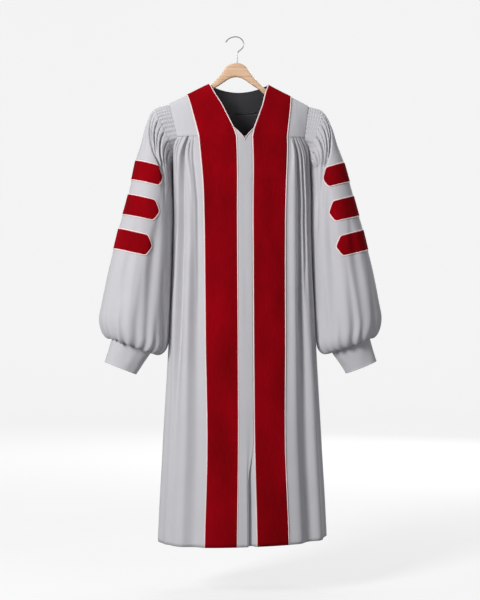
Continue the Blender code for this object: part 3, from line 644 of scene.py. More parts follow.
def lay(name, point, columns, rows, lift, facing=1, closed=False, thick=CLOTH):
    """Lay a fine sheet on a surface and give it its thickness inwards.

    lift gives the outer face's distance from the surface in millimetres. The sheet's UV map
    is in metres along and down the cloth, so that the weave runs with it.
    """
    shape = bmesh.new()
    across = len(columns) - (0 if closed else 1)
    down = len(rows) - 1
    bmesh.ops.create_grid(shape, x_segments=across, y_segments=down, size=0.5)
    column_of = shape.verts.layers.int.new("column")
    row_of = shape.verts.layers.int.new("row")
    for vert in shape.verts:
        vert[column_of] = round((vert.co.x + 0.5) * across)
        vert[row_of] = round((vert.co.y + 0.5) * down)
    weave = shape.loops.layers.uv.new("weave")
    if closed:
        for vert in shape.verts:
            turn = 2 * math.pi * vert[column_of] / across
            vert.co = Vector((math.cos(turn), math.sin(turn), vert[row_of]))
    for face in shape.faces:
        for loop in face.loops:
            loop[weave].uv = (loop.vert[column_of], loop.vert[row_of])
    if closed:
        bmesh.ops.remove_doubles(shape, verts=shape.verts[:], dist=0.0001)
    for vert in shape.verts:
        vert.co = point(columns[vert[column_of] % len(columns)], rows[vert[row_of]])
    if facing < 0:
        bmesh.ops.reverse_faces(shape, faces=shape.faces[:])
    shape.normal_update()
    around = across if closed else across + 1
    middle_row = {v[column_of] % around: v.co.copy() for v in shape.verts if v[row_of] == down // 2}
    middle_column = {v[row_of]: v.co.copy() for v in shape.verts if v[column_of] == across // 2}
    along = running(middle_row, across if closed else None)
    fallen = running(middle_column)
    for face in shape.faces:
        for loop in face.loops:
            spot = loop[weave].uv
            spot.x, spot.y = along[round(spot.x)], -fallen[round(spot.y)]
    for vert in shape.verts:
        raised = lift(columns[vert[column_of] % len(columns)], rows[vert[row_of]])
        vert.co += vert.normal * (raised * MM)
    piece = finish_mesh(shape, name)
    if thick:
        give_thickness(piece, thick)
    return piece


def running(spots, wrap=None):
    """Distances along a line of points that are kept by their index."""
    total = [0.0]
    for index in range(1, max(spots) + 1):
        total.append(total[-1] + (spots[index] - spots[index - 1]).length)
    if wrap:
        total.append(total[-1] + (spots[0] - spots[max(spots)]).length)
    return total


def finish_mesh(shape, name):
    """Make a smooth-shaded object of a shape."""
    mesh = bpy.data.meshes.new(name)
    shape.to_mesh(mesh)
    shape.free()
    mesh.polygons.foreach_set("use_smooth", [True] * len(mesh.polygons))
    piece = bpy.data.objects.new(name, mesh)
    bpy.context.scene.collection.objects.link(piece)
    return piece


def give_thickness(piece, thick):
    """Turn a sheet into a thin shell, from its outer face inwards."""
    wall = piece.modifiers.new("thickness", "SOLIDIFY")
    wall.thickness = thick * MM
    wall.offset = -1.0
    wall.use_quality_normals = True


def dress(piece, material, slot, *nodes):
    """Finish a piece with its material, let it ride, and hide the solids it stands for."""
    piece.data.materials.append(material)
    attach(piece, "root")
    if nodes:
        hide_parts(*nodes)
    return piece


class Finish:
    """A material being wired: a shader and a few helpers that hang nodes on it."""

    def __init__(self, name, colour, rough):
        self.material = bpy.data.materials.new(name)
        self.material.use_nodes = True
        self.tree = self.material.node_tree
        self.shader = self.tree.nodes["Principled BSDF"]
        self.set("Base Color", (*colour, 1.0))
        self.set("Roughness", rough)
        self.bump = None

    def set(self, socket, value):
        self.shader.inputs[socket].default_value = value

    def node(self, kind, **values):
        made = self.tree.nodes.new("ShaderNode" + kind)
        for key, value in values.items():
            if key in made.inputs:
                made.inputs[key].default_value = value
            else:
                setattr(made, key, value)
        return made

    def link(self, start, end):
        self.tree.links.new(start, end)

    def coordinates(self, kind, scale, turn=0.0):
        """Object or UV coordinates, stretched and turned."""
        source = self.node("TexCoord") if kind == "Object" else self.node("UVMap", uv_map="weave")
        mapping = self.node("Mapping")
        mapping.inputs["Scale"].default_value = scale
        mapping.inputs["Rotation"].default_value = (0.0, 0.0, math.radians(turn))
        self.link(source.outputs["Object" if kind == "Object" else "UV"], mapping.inputs["Vector"])
        return mapping.outputs["Vector"]

    def noise(self, vector, scale, detail=2.0, rough=0.5):
        made = self.node("TexNoise")
        made.inputs["Scale"].default_value = scale
        made.inputs["Detail"].default_value = detail
        made.inputs["Roughness"].default_value = rough
        self.link(vector, made.inputs["Vector"])
        return made.outputs["Fac"]

    def wave(self, vector, scale, distortion=0.0, direction="X"):
        made = self.node("TexWave", wave_type="BANDS", bands_direction=direction)
        made.inputs["Scale"].default_value = scale
        made.inputs["Distortion"].default_value = distortion
        self.link(vector, made.inputs["Vector"])
        return made.outputs["Fac"]

    def math(self, operation, first, second):
        made = self.node("Math", operation=operation)
        for socket, value in zip(made.inputs, (first, second)):
            if isinstance(value, float):
                socket.default_value = value
            else:
                self.link(value, socket)
        return made.outputs[0]

    def colours(self, factor, *stops):
        """Colour by a factor: each stop is its place and its colour."""
        ramp = self.node("ValToRGB")
        while len(ramp.color_ramp.elements) < len(stops):
            ramp.color_ramp.elements.new(0.5)
        for element, (spot, colour) in zip(ramp.color_ramp.elements, stops):
            element.position = spot
            element.color = (*colour, 1.0)
        self.link(factor, ramp.inputs["Fac"])
        return ramp.outputs["Color"]

    def mix(self, blend, factor, first, second):
        made = self.node("Mix", data_type="RGBA", blend_type=blend)
        made.inputs[0].default_value = factor
        self.link(first, made.inputs[6])
        self.link(second, made.inputs[7])
        return made.outputs[2]

    def base(self, colour):
        self.link(colour, self.shader.inputs["Base Color"])

    def rough(self, factor, low, high):
        spread = self.node("MapRange")
        spread.inputs["To Min"].default_value = low
        spread.inputs["To Max"].default_value = high
        self.link(factor, spread.inputs["Value"])
        self.link(spread.outputs["Result"], self.shader.inputs["Roughness"])

    def relief(self, height, distance, strength=1.0):
        """Add a bump over any that is there already."""
        made = self.node("Bump")
        made.inputs["Distance"].default_value = distance
        made.inputs["Strength"].default_value = strength
        self.link(height, made.inputs["Height"])
        if self.bump:
            self.link(self.bump.outputs["Normal"], made.inputs["Normal"])
        self.bump = made
        self.link(made.outputs["Normal"], self.shader.inputs["Normal"])


def woven(name, light, dark, rough, threads, twill=45.0):
    """A fine woven cloth: crossing threads, a twill line, slubs and slow uneven tone."""
    finish = Finish(name, light, rough)
    flat = finish.coordinates("UV", (1.0, 1.0, 1.0))
    leaning = finish.coordinates("UV", (1.0, 1.0, 1.0), twill)
    warp = finish.wave(flat, threads)
    weft = finish.wave(flat, threads, direction="Y")
    line = finish.wave(leaning, threads * 0.62)
    slub = finish.noise(finish.coordinates("UV", (900.0, 60.0, 1.0)), 1.0, 3.0)
    tone = finish.noise(finish.coordinates("Object", (1.0, 1.0, 1.0)), 9.0, 3.0, 0.55)
    threads_up = finish.math("MULTIPLY", finish.math("ADD", warp, weft), 0.5)
    height = finish.math("ADD", finish.math("MULTIPLY", threads_up, 0.6), finish.math("MULTIPLY", line, 0.4))
    speck = finish.math("ADD", finish.math("MULTIPLY", height, 0.45), finish.math("MULTIPLY", slub, 0.55))
    spread = finish.math("ADD", finish.math("MULTIPLY", speck, 0.5), finish.math("MULTIPLY", tone, 0.5))
    finish.base(finish.colours(spread, (0.22, dark), (0.72, light)))
    finish.rough(speck, rough - 0.06, rough + 0.06)
    finish.relief(height, 0.00022, 0.35)
    finish.relief(slub, 0.00012, 0.35)
    return finish


def gown_cloth():
    finish = woven("pale_grey_gabardine", (0.565, 0.556, 0.578), (0.490, 0.481, 0.504), 0.72, 150.0)
    finish.set("Sheen Weight", 0.22)
    finish.set("Sheen Roughness", 0.45)
    finish.set("Sheen Tint", (0.95, 0.95, 1.0, 1.0))
    finish.set("Specular IOR Level", 0.3)
    return finish.material


def velvet():
    """Crimson velvet: a short dense pile with a bright edge sheen, whose nap lies unevenly in soft patches
    painted darker and lighter as the pile's shade and sheen.
    """
    finish = Finish("crimson_velvet", (0.22, 0.002, 0.006), 0.85)
    swept_nap_shade = finish.noise(finish.coordinates("Object", (1.0, 1.0, 0.38)), 11.0, 3.0, 0.5)
    brushed = finish.noise(finish.coordinates("UV", (260.0, 34.0, 1.0)), 1.0, 2.0)
    pile = finish.noise(finish.coordinates("UV", (1.0, 1.0, 1.0)), 1500.0, 2.0, 0.7)
    nap_lie_and_shade = finish.math("ADD", finish.math("MULTIPLY", swept_nap_shade, 0.72), finish.math("MULTIPLY", brushed, 0.28))
    tone = finish.math("ADD", finish.math("MULTIPLY", nap_lie_and_shade, 0.8), finish.math("MULTIPLY", pile, 0.2))
    # The ramp paints the uneven nap's patches darker and lighter: partly the pile's own lie, partly painted
    # shade and sheen of the pile.
    finish.base(finish.colours(tone, (0.30, (0.150, 0.0004, 0.0022)), (0.50, (0.245, 0.0006, 0.0040)),
                               (0.70, (0.360, 0.0010, 0.0070))))
    finish.rough(nap_lie_and_shade, 0.78, 0.92)
    finish.set("Sheen Weight", 0.12)
    finish.set("Sheen Roughness", 0.30)
    finish.set("Sheen Tint", (0.70, 0.002, 0.015, 1.0))
    finish.set("Specular IOR Level", 0.02)
    finish.relief(pile, 0.0005, 0.5)
    finish.relief(brushed, 0.0004, 0.3)
    return finish.material


def satin_piping():
    """Pale satin cord in a bias cover, with a slanting twist."""
    finish = Finish("pale_satin_piping", (0.78, 0.62, 0.62), 0.42)
    twist = finish.wave(finish.coordinates("UV", (1.0, 1.0, 1.0), 38.0), 120.0)
    shade_of = finish.noise(finish.coordinates("Object", (1.0, 1.0, 1.0)), 40.0, 2.0)
    tone = finish.math("ADD", finish.math("MULTIPLY", twist, 0.4), finish.math("MULTIPLY", shade_of, 0.6))
    finish.base(finish.colours(tone, (0.25, (0.80, 0.57, 0.57)), (0.75, (0.96, 0.78, 0.78))))
    finish.rough(tone, 0.34, 0.52)
    finish.set("Sheen Weight", 0.2)
    finish.relief(twist, 0.0002, 0.4)
    return finish.material


def lining():
    # Near-black charcoal: the facing's own colour, which on the lining below it also stands in for the deep
    # painted shade inside the back.
    finish = woven("charcoal_lining", (0.030, 0.028, 0.033), (0.016, 0.015, 0.018), 0.50, 190.0, 0.0)
    finish.set("Sheen Weight", 0.05)
    finish.set("Specular IOR Level", 0.30)
    return finish.material


def thread(name, light, dark):
    """Sewing thread with its ply."""
    finish = Finish(name, light, 0.5)
    ply = finish.wave(finish.coordinates("Object", (1.0, 1.0, 1.0), 30.0), 900.0)
    finish.base(finish.colours(ply, (0.2, dark), (0.8, light)))
    finish.rough(ply, 0.45, 0.62)
    finish.relief(ply, 0.0001, 0.4)
    return finish.material


def beech():
    """Varnished beech: long grain along the arms, with small flecks and growth lines."""
    finish = Finish("varnished_beech", (0.58, 0.36, 0.19), 0.34)
    rings = finish.coordinates("Object", (2.4, 20.0, 34.0), 6.0)
    growth = finish.wave(rings, 1.1, 7.0, "Z")
    grain = finish.noise(finish.coordinates("Object", (10.0, 260.0, 260.0)), 1.0, 5.0, 0.6)
    flecks = finish.noise(finish.coordinates("Object", (150.0, 700.0, 700.0)), 1.0, 2.0, 0.5)
    tone = finish.math("ADD", finish.math("MULTIPLY", growth, 0.16), finish.math("MULTIPLY", grain, 0.84))
    wood = finish.colours(tone, (0.25, (0.60, 0.36, 0.205)), (0.5, (0.74, 0.475, 0.295)),
                          (0.75, (0.84, 0.585, 0.385)))
    specks = finish.colours(flecks, (0.30, (0.72, 0.66, 0.60)), (0.42, (1.0, 1.0, 1.0)))
    finish.base(finish.mix("MULTIPLY", 0.7, wood, specks))
    finish.rough(grain, 0.30, 0.46)
    finish.set("Coat Weight", 0.35)
    finish.set("Coat Roughness", 0.22)
    finish.relief(grain, 0.0003, 0.35)
    return finish.material


def hook_steel():
    """Bright wire with fine drawn lines and a few dull patches."""
    finish = Finish("drawn_steel_wire", (0.50, 0.50, 0.52), 0.24)
    finish.set("Metallic", 1.0)
    drawn = finish.noise(finish.coordinates("Object", (1200.0, 1200.0, 90.0)), 1.0, 2.0)
    dull = finish.noise(finish.coordinates("Object", (1.0, 1.0, 1.0)), 160.0, 3.0)
    finish.base(finish.colours(dull, (0.35, (0.24, 0.24, 0.26)), (0.65, (0.40, 0.40, 0.42))))
    finish.rough(dull, 0.34, 0.50)
    finish.relief(drawn, 0.00008, 0.4)
    return finish.material


def half_round(share, height):
    """The height of a half-round cord at a share of its width."""
    return height * math.sqrt(max(0.0, 1.0 - (2.0 * share - 1.0) ** 2) + 0.02)


def cord(name, point, marks, across, base_lift, height, facing, closed=False):
    """Piping: a half-round cord along a strip of a surface."""
    spread = [across[0] + (across[1] - across[0]) * index / CORD_SIDES for index in range(CORD_SIDES + 1)]

    def dome(at):
        return half_round((at - across[0]) / (across[1] - across[0]), height)

    if closed:
        def lift(mark, share):
            return base_lift(mark, share) + dome(share)
        return lay(name, point, marks, spread, lift, facing, closed=True, thick=height)

    def lift(column, row):
        return base_lift(column, row) + dome(column)
    return lay(name, point, spread, marks, lift, facing, thick=height)


def stitches(name, material, slot, spots, length, width):
    """A row of small sewn stitches. Each spot is a place, its direction and its outward normal."""
    shape = bmesh.new()
    for place_at, heading, outward in spots:
        side = heading.cross(outward).normalized()
        turn = Matrix((heading, side, outward)).transposed().to_4x4()
        size = Matrix.Diagonal((length * MM, width * MM, width * MM * 0.8, 1.0))
        bmesh.ops.create_icosphere(shape, subdivisions=1, radius=0.5,
                                   matrix=Matrix.Translation(place_at) @ turn @ size)
    return dress(finish_mesh(shape, name), material, slot)


def sewn(point, lift, path, facing, count):
    """Evenly spaced spots for stitches along a path over a surface, for stitches()."""
    spots = []
    for index in range(count):
        u, v = path((index + 0.25) / count)
        ahead = point(*path((index + 0.65) / count))
        here = point(u, v)
        across = point(u + 0.02, v) - here
        down = point(u, v + 0.02) - here
        outward = across.cross(down).normalized() * facing
        heading = ahead - here
        heading = (heading - outward * heading.dot(outward)).normalized()
        spots.append((here + outward * ((lift(u, v) + 0.1) * MM), heading, outward))
    return spots


def hem_fold(z):
    """The turned-up hem stands a little proud of the cloth above it."""
    return HEM_RISE * ease((HEM_Z + HEM_DEPTH - z) / 5.0)


def build_front(side, word, looks):
    """One side's yoke, front panel, velvet band and its two lines of piping."""
    surface = front_surface(side)
    relief = front_relief(side)
    panel_surface = right_front_surface if side > 0 else surface
    full_rows = steps(0, YOKE_ROWS - 0.25, 26) + [YOKE_ROWS + row for row in body_rows()]

    def yoke_lift(column, row):
        return relief(column, row) + YOKE_ROLL * ease((row - YOKE_ROWS + 0.5) / 0.4)

    def panel_lift(column, row):
        return relief(column, max(row, YOKE_ROWS + 0.001)) + hem_fold(body_height(row - YOKE_ROWS))

    def velvet_lift(column, row):
        nap = 0.5 * drift(1.7, column, row / 1.6, side + 5.0)
        return relief(column, row) + OVER + VELVET + nap

    yoke = lay("yoke_front_" + word, surface, steps(0, ALL_COLUMNS + 0.1, 46),
               steps(0, YOKE_ROWS + 0.04, 36), yoke_lift, -side)
    dress(yoke, looks["cloth"], "gown_cloth", "front_yoke_" + word)
    panel_rows = [YOKE_ROWS - 0.02] + [YOKE_ROWS + row for row in body_rows(0.02)]
    panel = lay("panel_front_" + word, panel_surface, steps(-PLACKET_COLUMNS, ALL_COLUMNS, 112),
                panel_rows, panel_lift, -side)
    dress(panel, looks["cloth"], "gown_cloth", "front_" + word)
    band = lay("velvet_band_" + word, surface,
               steps(CORD_COLUMNS - 0.05, VELVET_COLUMNS - CORD_COLUMNS + 0.05, 26),
               full_rows, velvet_lift, -side, thick=VELVET)
    dress(band, looks["velvet"], "velvet", "velvet_" + word)

    def under_cord(column, row):
        return relief(column, row) + OVER

    inner = cord("cord_neck_" + word, surface, full_rows, (0.0, CORD_COLUMNS), under_cord,
                 CORD_HEIGHT, -side)
    dress(inner, looks["piping"], "piping", "neck_piping_" + word)
    outer = cord("cord_side_" + word, surface, full_rows, (VELVET_COLUMNS - CORD_COLUMNS, VELVET_COLUMNS),
                 under_cord, CORD_HEIGHT, -side)
    dress(outer, looks["piping"], "piping", "side_piping_" + word)

    def over_seam(share):
        return VELVET_COLUMNS + 0.4 + (SIDE_COLUMNS - 1.0) * share, YOKE_ROWS - 0.22

    def along_hem(share):
        return (VELVET_COLUMNS + 0.3 + (SIDE_COLUMNS - 0.6) * share,
                YOKE_ROWS + row_at(HEM_Z + HEM_DEPTH - 1.0))

    seam = stitches("yoke_stitches_" + word, looks["thread"], "gown_cloth",
                    sewn(surface, yoke_lift, over_seam, -side, 18), 2.2, 0.6)
    hem = stitches("hem_stitches_" + word, looks["thread"], "gown_cloth",
                   sewn(surface, panel_lift, along_hem, -side, 44), 2.4, 0.6)


def build_placket(looks):
    """The strip over the closure and the piping on its V top."""
    def strip_lift(column, row):
        z = body_height(row)
        crease = SLIT_SHADE * ease((SLIT_TOP_Z + 90.0 - z) / 200.0) * ease(column / 0.6)
        wave = 0.6 * drift(1.5, column * 2.0, row, 8.0)
        return CLOTH + STRIP_OVER - crease + wave

    rows = steps(0.0, 0.95, 12) + body_rows(1.0)
    strip = lay("closure_strip", placket_surface, steps(-1, 1, 18), rows, strip_lift, -1)
    dress(strip, looks["cloth"], "gown_cloth", "placket")

    def v_line(column, row):
        return placket_point(column, v_top(column) + 1.0 - V_CORD * row)

    def v_lift(column, row):
        return CLOTH + STRIP_OVER + half_round(row, CORD_HEIGHT)

    piping = lay("cord_v", v_line, steps(-1.02, 1.02, 40), steps(0, 1, 6), v_lift, -1, thick=2.0)
    dress(piping, looks["piping"], "piping", "v_piping")


def build_back(looks):
    """The back yoke, the facing and lining that show inside the neck, and the back panel; the near-black
    lining doubles as painted shade inside the back.
    """
    def yoke_lift(column, row):
        slack = 0.7 * drift(0.5, column, row / 5.0, 2.0)
        return CLOTH + slack * ease((YOKE_ROWS - row) / 2.0) + YOKE_ROLL * ease((row - YOKE_ROWS + 0.5) / 0.4)

    def panel_lift(column, row):
        return back_relief(column, row) + hem_fold(body_height(row))

    yoke = lay("yoke_back", back_yoke, steps(-0.996, 0.996, 120), steps(0, YOKE_ROWS + 0.03, 34), yoke_lift, 1)
    dress(yoke, looks["cloth"], "gown_cloth", "back_yoke")
    panel = lay("panel_back", back_body, steps(-1.0, 1.0, 200), body_rows(), panel_lift, 1)
    dress(panel, looks["cloth"], "gown_cloth", "back")

    def inside(column, row):
        return -0.5 + 0.35 * drift(0.3, column, row / 4.0, 6.0)

    def inside_lower(column, row):
        return -0.5 - 0.3 * drift(0.25, column, row / 3.0, 7.0)

    facing = lay("facing_neck", back_yoke, steps(-0.42, 0.42, 48), steps(0.02, 3.53, 22), inside, 1,
                 thick=FACING_WALL)
    dress(facing, looks["lining"], "lining", "neck_facing")
    # The near-black lining below the facing is partly the gown's dark lining, partly a dark sheet standing in
    # for the deep shade inside the back.
    lining_and_shade_sheet = lay("lining_back_and_painted_shade", back_yoke, steps(-0.42, 0.42, 48), steps(3.57, YOKE_ROWS, 16),
                       inside_lower, 1, thick=LINING_WALL)
    dress(lining_and_shade_sheet, looks["lining"], "lining", "back_lining")

    def facing_edge(share):
        return -0.40 + 0.80 * share, 3.42

    def seam(share):
        return -0.97 + 1.94 * share, YOKE_ROWS - 0.22

    def hem(share):
        return -0.985 + 1.97 * share, row_at(HEM_Z + HEM_DEPTH - 1.0)

    def inner_face(column, row):
        return 1.9

    edge = stitches("facing_stitches", looks["pale_thread"], "lining",
                    sewn(back_yoke, inner_face, facing_edge, -1, 52), 2.0, 0.55)
    across = stitches("back_yoke_stitches", looks["thread"], "gown_cloth",
                      sewn(back_yoke, yoke_lift, seam, 1, 124), 2.2, 0.6)
    low = stitches("back_hem_stitches", looks["thread"], "gown_cloth",
                   sewn(back_body, panel_lift, hem, 1, 170), 2.4, 0.6)


def rounded(corners, near):
    """A closed outline with each corner rounded over a distance on both its sides."""
    smooth = []
    for index, corner in enumerate(corners):
        corner = Vector(corner)
        before = corner.lerp(Vector(corners[index - 1]), near / (Vector(corners[index - 1]) - corner).length)
        after = Vector(corners[(index + 1) % len(corners)])
        after = corner.lerp(after, near / (after - corner).length)
        for part in (0.0, 0.25, 0.5, 0.75, 1.0):
            smooth.append(before.lerp(corner, part).lerp(corner.lerp(after, part), part))
    return smooth


def evenly(outline, spacing):
    """A closed outline resampled at an even spacing."""
    spots = [Vector(spot) for spot in outline] + [Vector(outline[0])]
    total = running(dict(enumerate(spots)))
    count = int(total[-1] / spacing)
    even = []
    index = 0
    for step in range(count):
        far = total[-1] * step / count
        while total[index + 1] < far:
            index += 1
        share = (far - total[index]) / (total[index + 1] - total[index])
        even.append(spots[index].lerp(spots[index + 1], share))
    return even


def half_height_at(outline, x):
    """How tall the upper half of an outline is at a place along it."""
    upper = sorted((spot.x, spot.y) for spot in outline if spot.y >= 0.0)
    for (low_x, low_y), (high_x, high_y) in zip(upper, upper[1:]):
        if low_x <= x <= high_x:
            return low_y + (high_y - low_y) * (x - low_x) / max(high_x - low_x, 1e-6)
    return 0.0


def build_bar(side, word, number, bar, looks):
    """A pointed velvet bar and the cord round it, laid on the sleeve."""
    surface = sleeve_surface(side)
    relief = sleeve_relief(side)
    middle = (bar.top + bar.bottom) / 2.0
    pitch = (surface(BAR_COLUMN / 2, middle) - surface(-BAR_COLUMN / 2, middle)).length / MM
    front_pitch = (surface(math.pi / 2 + BAR_COLUMN / 2, middle)
                   - surface(math.pi / 2 - BAR_COLUMN / 2, middle)).length / MM
    pitch = (pitch + front_pitch) / 2.0
    top, bottom = (surface(math.pi / 2, middle + half) for half in (-BAR_HALF, BAR_HALF))
    tall = (top - bottom).length / MM / 2.0
    long = (bar.half_span - 0.1) * pitch
    high = tall / BAR_HALF / 2.0 - BAR_CORD / 2.0
    outline = evenly(rounded([
        (long, 0.0), (long - BAR_TIP, high), (BAR_TIP - long, high),
        (-long, 0.0), (BAR_TIP - long, -high), (long - BAR_TIP, -high),
    ], BAR_ROUND), 2.5)

    def on_sleeve(x, y):
        return surface(x / pitch * BAR_COLUMN, middle - BAR_HALF * y / tall)

    def sleeve_lift(x, y):
        return relief(x / pitch * BAR_COLUMN, middle - BAR_HALF * y / tall)

    def bar_point(x, share):
        return on_sleeve(x, share * half_height_at(outline, x))

    def bar_lift(x, share):
        return sleeve_lift(x, share * half_height_at(outline, x)) + OVER + VELVET

    far = max(spot.x for spot in outline) - 0.6
    piece = lay("bar_%d_%s_velvet" % (number, word), bar_point, steps(-far, far, 110), steps(1, -1, 14),
                bar_lift, side, thick=VELVET)
    dress(piece, looks["velvet"], "velvet", "bar_%d_%s" % (number, word))

    count = len(outline)

    def rim(index, share):
        spot = outline[index % count]
        heading = outline[(index + 1) % count] - outline[(index - 1) % count]
        away = Vector((heading.y, -heading.x)).normalized()
        return spot + away * ((share - 0.5) * BAR_CORD)

    def rim_point(index, share):
        return on_sleeve(*rim(index, share))

    def rim_lift(index, share):
        return sleeve_lift(*rim(index, share)) + OVER

    piping = cord("bar_%d_%s_cord" % (number, word), rim_point, list(range(count)), (0.0, 1.0),
                  rim_lift, BAR_CORD_HEIGHT, side, closed=True)
    dress(piping, looks["piping"], "piping", "bar_%d_piping_%s" % (number, word))


def build_sleeve(side, word, looks):
    """A fluted head band, a bishop sleeve, its gathered cuff and its three bars."""
    surface = sleeve_surface(side)
    relief = sleeve_relief(side)

    def flute_lift(angle, step):
        sway = 0.5 * drift(0.8, math.cos(angle) * 2.0, math.sin(angle) * 2.0, side + step)
        rounded_top = (0.5 - 0.5 * math.cos(FLUTES * angle + sway)) ** 0.75
        tall = FLUTE_RISE * ease(0.75 + 0.75 * math.cos(angle))
        pulled = sum(math.exp(-((step - row) / STITCH_PULL) ** 2) for row in STITCH_ROWS)
        puff = 1.0 - 0.50 * min(pulled, 1.0)
        return 0.4 + tall * rounded_top * puff * (0.75 + 0.25 * ease(step / 0.1)) - 0.3 * min(pulled, 1.0)

    flute_columns = turns(10 * FLUTES)
    band = lay("fluted_band_" + word, surface, flute_columns, steps(0.0, 0.985, 44), flute_lift, side,
               closed=True, thick=CLOTH)
    dress(band, looks["cloth"], "gown_cloth", "fluting_" + word)
    sleeve_steps = steps(0.965, 4.0, 46) + steps(4.08, 11.0, 56) + steps(11.08, LAST_RING, 44)
    sleeve = lay("bishop_sleeve_" + word, surface, turns(216), sleeve_steps, relief, side, closed=True)
    dress(sleeve, looks["cloth"], "gown_cloth", "sleeve_" + word)
    cuff_form = cuff_surface(side)

    def cuff_lift(angle, step):
        seam = 1.2 * math.exp(-((step - 0.02) / 0.035) ** 2)
        pucker = 0.35 * math.cos(CUFF_GATHERS * 2 * angle) * math.exp(-step / 0.12)
        crease = 1.3 * drift(0.45, math.cos(angle), math.sin(angle), step * 0.9 + side)
        edge = 0.5 * ease((step - 0.90) / 0.04)
        return CLOTH + seam + pucker + crease * ease(step / 0.2) + edge

    cuff = lay("cuff_band_" + word, cuff_form, turns(144), steps(-0.02, 1.0, 34), cuff_lift, side, closed=True)
    dress(cuff, looks["cloth"], "gown_cloth", "cuff_" + word)

    def cuff_row(at):
        def path(share):
            return share * 2 * math.pi, at
        return path

    cuff_seams = [stitches("cuff_stitches_%s_%s" % (label, word), looks["thread"], "gown_cloth",
                           sewn(cuff_form, cuff_lift, cuff_row(at), side, 72), 2.2, 0.55)
                  for label, at in (("top", 0.07), ("end", 0.90))]
    sewn_rows = []
    for row in STITCH_ROWS:
        def path(share, row=row):
            reach = math.radians(128)
            return -reach + 2 * reach * share, row
        sewn_rows += sewn(surface, flute_lift, path, side, 76)
    smocking = stitches("band_stitches_" + word, looks["thread"], "gown_cloth", sewn_rows, 2.0, 0.5)
    for number, bar in enumerate(BARS, start=1):
        build_bar(side, word, number, bar, looks)


def build_hanger(looks):
    """The wooden arms, lofted from rounded sections, and the bent wire hook."""
    reach = ARMS[-1].x
    marks = [x * reach / 84.0 for x in range(-84, 85)]
    tips = [1.0 - 0.45 * (1.0 - share) ** 2 for share in (0.0, 0.35, 0.7)]
    sizes = tips + [1.0] * (len(marks) - 6) + tips[::-1]
    shape = bmesh.new()
    bmesh.ops.create_circle(shape, cap_ends=True, segments=24, radius=1.0)
    shape.faces.ensure_lookup_table()
    face = shape.faces[0]
    outline = [vert.co.copy() for vert in face.verts]
    for index, (x, size) in enumerate(zip(marks, sizes)):
        if index:
            made = bmesh.ops.extrude_face_region(shape, geom=[face])
            if index > 1:
                bmesh.ops.delete(shape, geom=[face], context="FACES_ONLY")
            face = [item for item in made["geom"] if isinstance(item, bmesh.types.BMFace)][0]
        station = arm_station(abs(x))
        for vert, spot in zip(face.verts, outline):
            squared = 1.0 / max(abs(spot.x), abs(spot.y)) ** 0.45
            y = spot.x * squared * station["thickness"] / 2.0 * size
            z = station["top"] - station["height"] / 2.0 + spot.y * squared * station["height"] / 2.0 * size
            vert.co = Vector((x + HANGER_X, y, z)) * MM
    bmesh.ops.recalc_face_normals(shape, faces=shape.faces[:])
    arms = finish_mesh(shape, "beech_arms")
    dress(arms, looks["wood"], "hanger_wood", "hanger_arms")

    last = len(HOOK_LINE) - 1

    def centre(along):
        spot = clamp(along, 0.0, last)
        index = min(int(spot), last - 1)
        near = [HOOK_LINE[clamp(index + step, 0, last)] for step in (-1, 0, 1, 2)]
        return Vector([spline(*[point[axis] for point in near], spot - index) for axis in (0, 1)])

    def wire(angle, along):
        heading = (centre(along + 0.02) - centre(along - 0.02)).normalized()
        at = centre(along)
        tip = math.sqrt(max(0.0, 1.0 - (1.0 - clamp(along / 0.22, 0.0, 1.0)) ** 2)) * 0.97 + 0.03
        out = WIRE / 2.0 * tip
        side = Vector((-heading.y, heading.x)) * math.cos(angle) * out
        return Vector((at.x + side.x, math.sin(angle) * out, at.y + side.y)) * MM

    hook = lay("hook_wire", wire, turns(18), steps(0, 0.3, 8) + steps(0.4, last, 120),
               lambda angle, along: 0.0, -1, closed=True, thick=0.0)
    dress(hook, looks["steel"], "hook_wire", "hanger_hook")


def arm_station(x):
    """The hanger arm's top line, height and thickness at a distance from its middle."""
    index = 0
    while index < len(ARMS) - 2 and ARMS[index + 1].x < x:
        index += 1
    part = (x - ARMS[index].x) / (ARMS[index + 1].x - ARMS[index].x)
    spot = index + clamp(part, 0.0, 1.0)
    return {name: table_at(ARMS, spot, name) for name in ("top", "height", "thickness")}


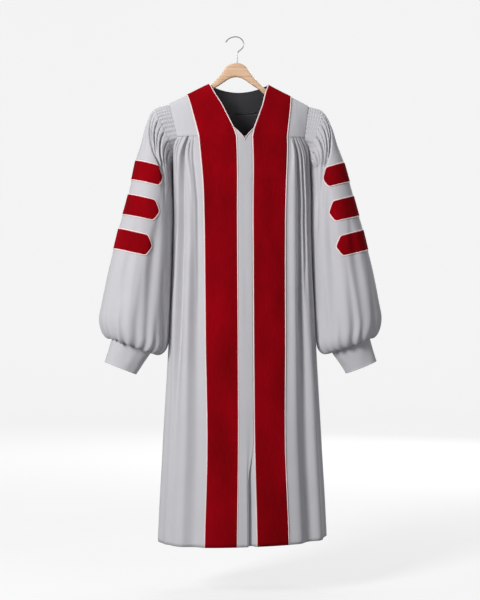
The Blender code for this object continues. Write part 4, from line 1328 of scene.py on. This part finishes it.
def build_stage():
    """A round pale floor that sweeps up into a wall far behind, soft lights and the camera."""
    shape = bmesh.new()
    bmesh.ops.create_grid(shape, x_segments=72, y_segments=48, size=0.5)
    for vert in shape.verts:
        angle = 2 * math.pi * vert.co.x
        far = FLOOR_REACH * (vert.co.y + 0.5)
        turn = clamp((far - FLOOR_FLAT) / COVE, 0.0, 1.0) * math.pi / 2
        out = min(far, FLOOR_FLAT) + COVE * math.sin(turn)
        z = FLOOR_Z + COVE * (1.0 - math.cos(turn)) + max(0.0, far - FLOOR_FLAT - COVE)
        vert.co = Vector((out * math.cos(angle), out * math.sin(angle), z))
    bmesh.ops.remove_doubles(shape, verts=shape.verts[:], dist=0.0005)
    bmesh.ops.recalc_face_normals(shape, faces=shape.faces[:])
    bmesh.ops.reverse_faces(shape, faces=shape.faces[:])
    floor = finish_mesh(shape, "studio_floor")
    paper = Finish("backdrop_paper", (0.5, 0.5, 0.5), 0.9)
    grain = paper.noise(paper.coordinates("Object", (1.0, 1.0, 1.0)), 3.0, 2.0)
    paper.base(paper.colours(grain, (0.3, (0.30, 0.30, 0.30)), (0.7, (0.31, 0.31, 0.31))))
    paper.set("Emission Color", (1.0, 1.0, 1.0, 1.0))
    away = paper.node("VectorMath", operation="LENGTH")
    paper.link(paper.coordinates("Object", (1.0, 1.0, 1.0)), away.inputs[0])
    glow = paper.node("MapRange", interpolation_type="SMOOTHSTEP")
    for socket, value in FLOOR_GLOW.items():
        glow.inputs[socket].default_value = value
    paper.link(away.outputs["Value"], glow.inputs["Value"])
    paper.link(glow.outputs["Result"], paper.shader.inputs["Emission Strength"])
    paper.set("Specular IOR Level", 0.0)
    floor.data.materials.append(paper.material)
    floor.visible_diffuse = False

    world = bpy.data.worlds.new("studio")
    bpy.context.scene.world = world
    world.use_nodes = True
    world.node_tree.nodes["Background"].inputs["Color"].default_value = (0.93, 0.95, 1.0, 1.0)
    world.node_tree.nodes["Background"].inputs["Strength"].default_value = WORLD_STRENGTH
    for lamp in LIGHTS:
        light = bpy.data.lights.new(lamp.name, "AREA")
        light.shape = "RECTANGLE"
        light.size, light.size_y = lamp.size
        light.energy = lamp.power
        holder = bpy.data.objects.new(lamp.name, light)
        holder.location = lamp.place
        towards = Vector(lamp.aim) - Vector(lamp.place)
        holder.rotation_euler = towards.to_track_quat("-Z", "Y").to_euler()
        bpy.context.scene.collection.objects.link(holder)

    view = bpy.data.cameras.new("camera")
    view.sensor_width = SENSOR
    view.lens = LENS
    camera = bpy.data.objects.new("camera", view)
    azimuth = math.radians(VIEW_AZIMUTH)
    camera.location = (AIM_X + VIEW_DISTANCE * math.sin(azimuth),
                       -VIEW_DISTANCE * math.cos(azimuth), VIEW_Z)
    camera.rotation_euler = (math.pi / 2, 0.0, azimuth)
    bpy.context.scene.collection.objects.link(camera)
    bpy.context.scene.camera = camera
    bpy.context.scene.view_settings.view_transform = "Standard"


def main():
    looks = {
        "cloth": gown_cloth(),
        "velvet": velvet(),
        "piping": satin_piping(),
        "lining": lining(),
        "thread": thread("grey_thread", (0.62, 0.61, 0.63), (0.46, 0.45, 0.47)),
        "pale_thread": thread("pale_thread", (0.50, 0.46, 0.46), (0.30, 0.27, 0.28)),
        "wood": beech(),
        "steel": hook_steel(),
    }
    for side, word in ((-1, "left"), (1, "right")):
        build_front(side, word, looks)
        build_sleeve(side, word, looks)
    build_placket(looks)
    build_back(looks)
    build_hanger(looks)
    build_stage()


main()
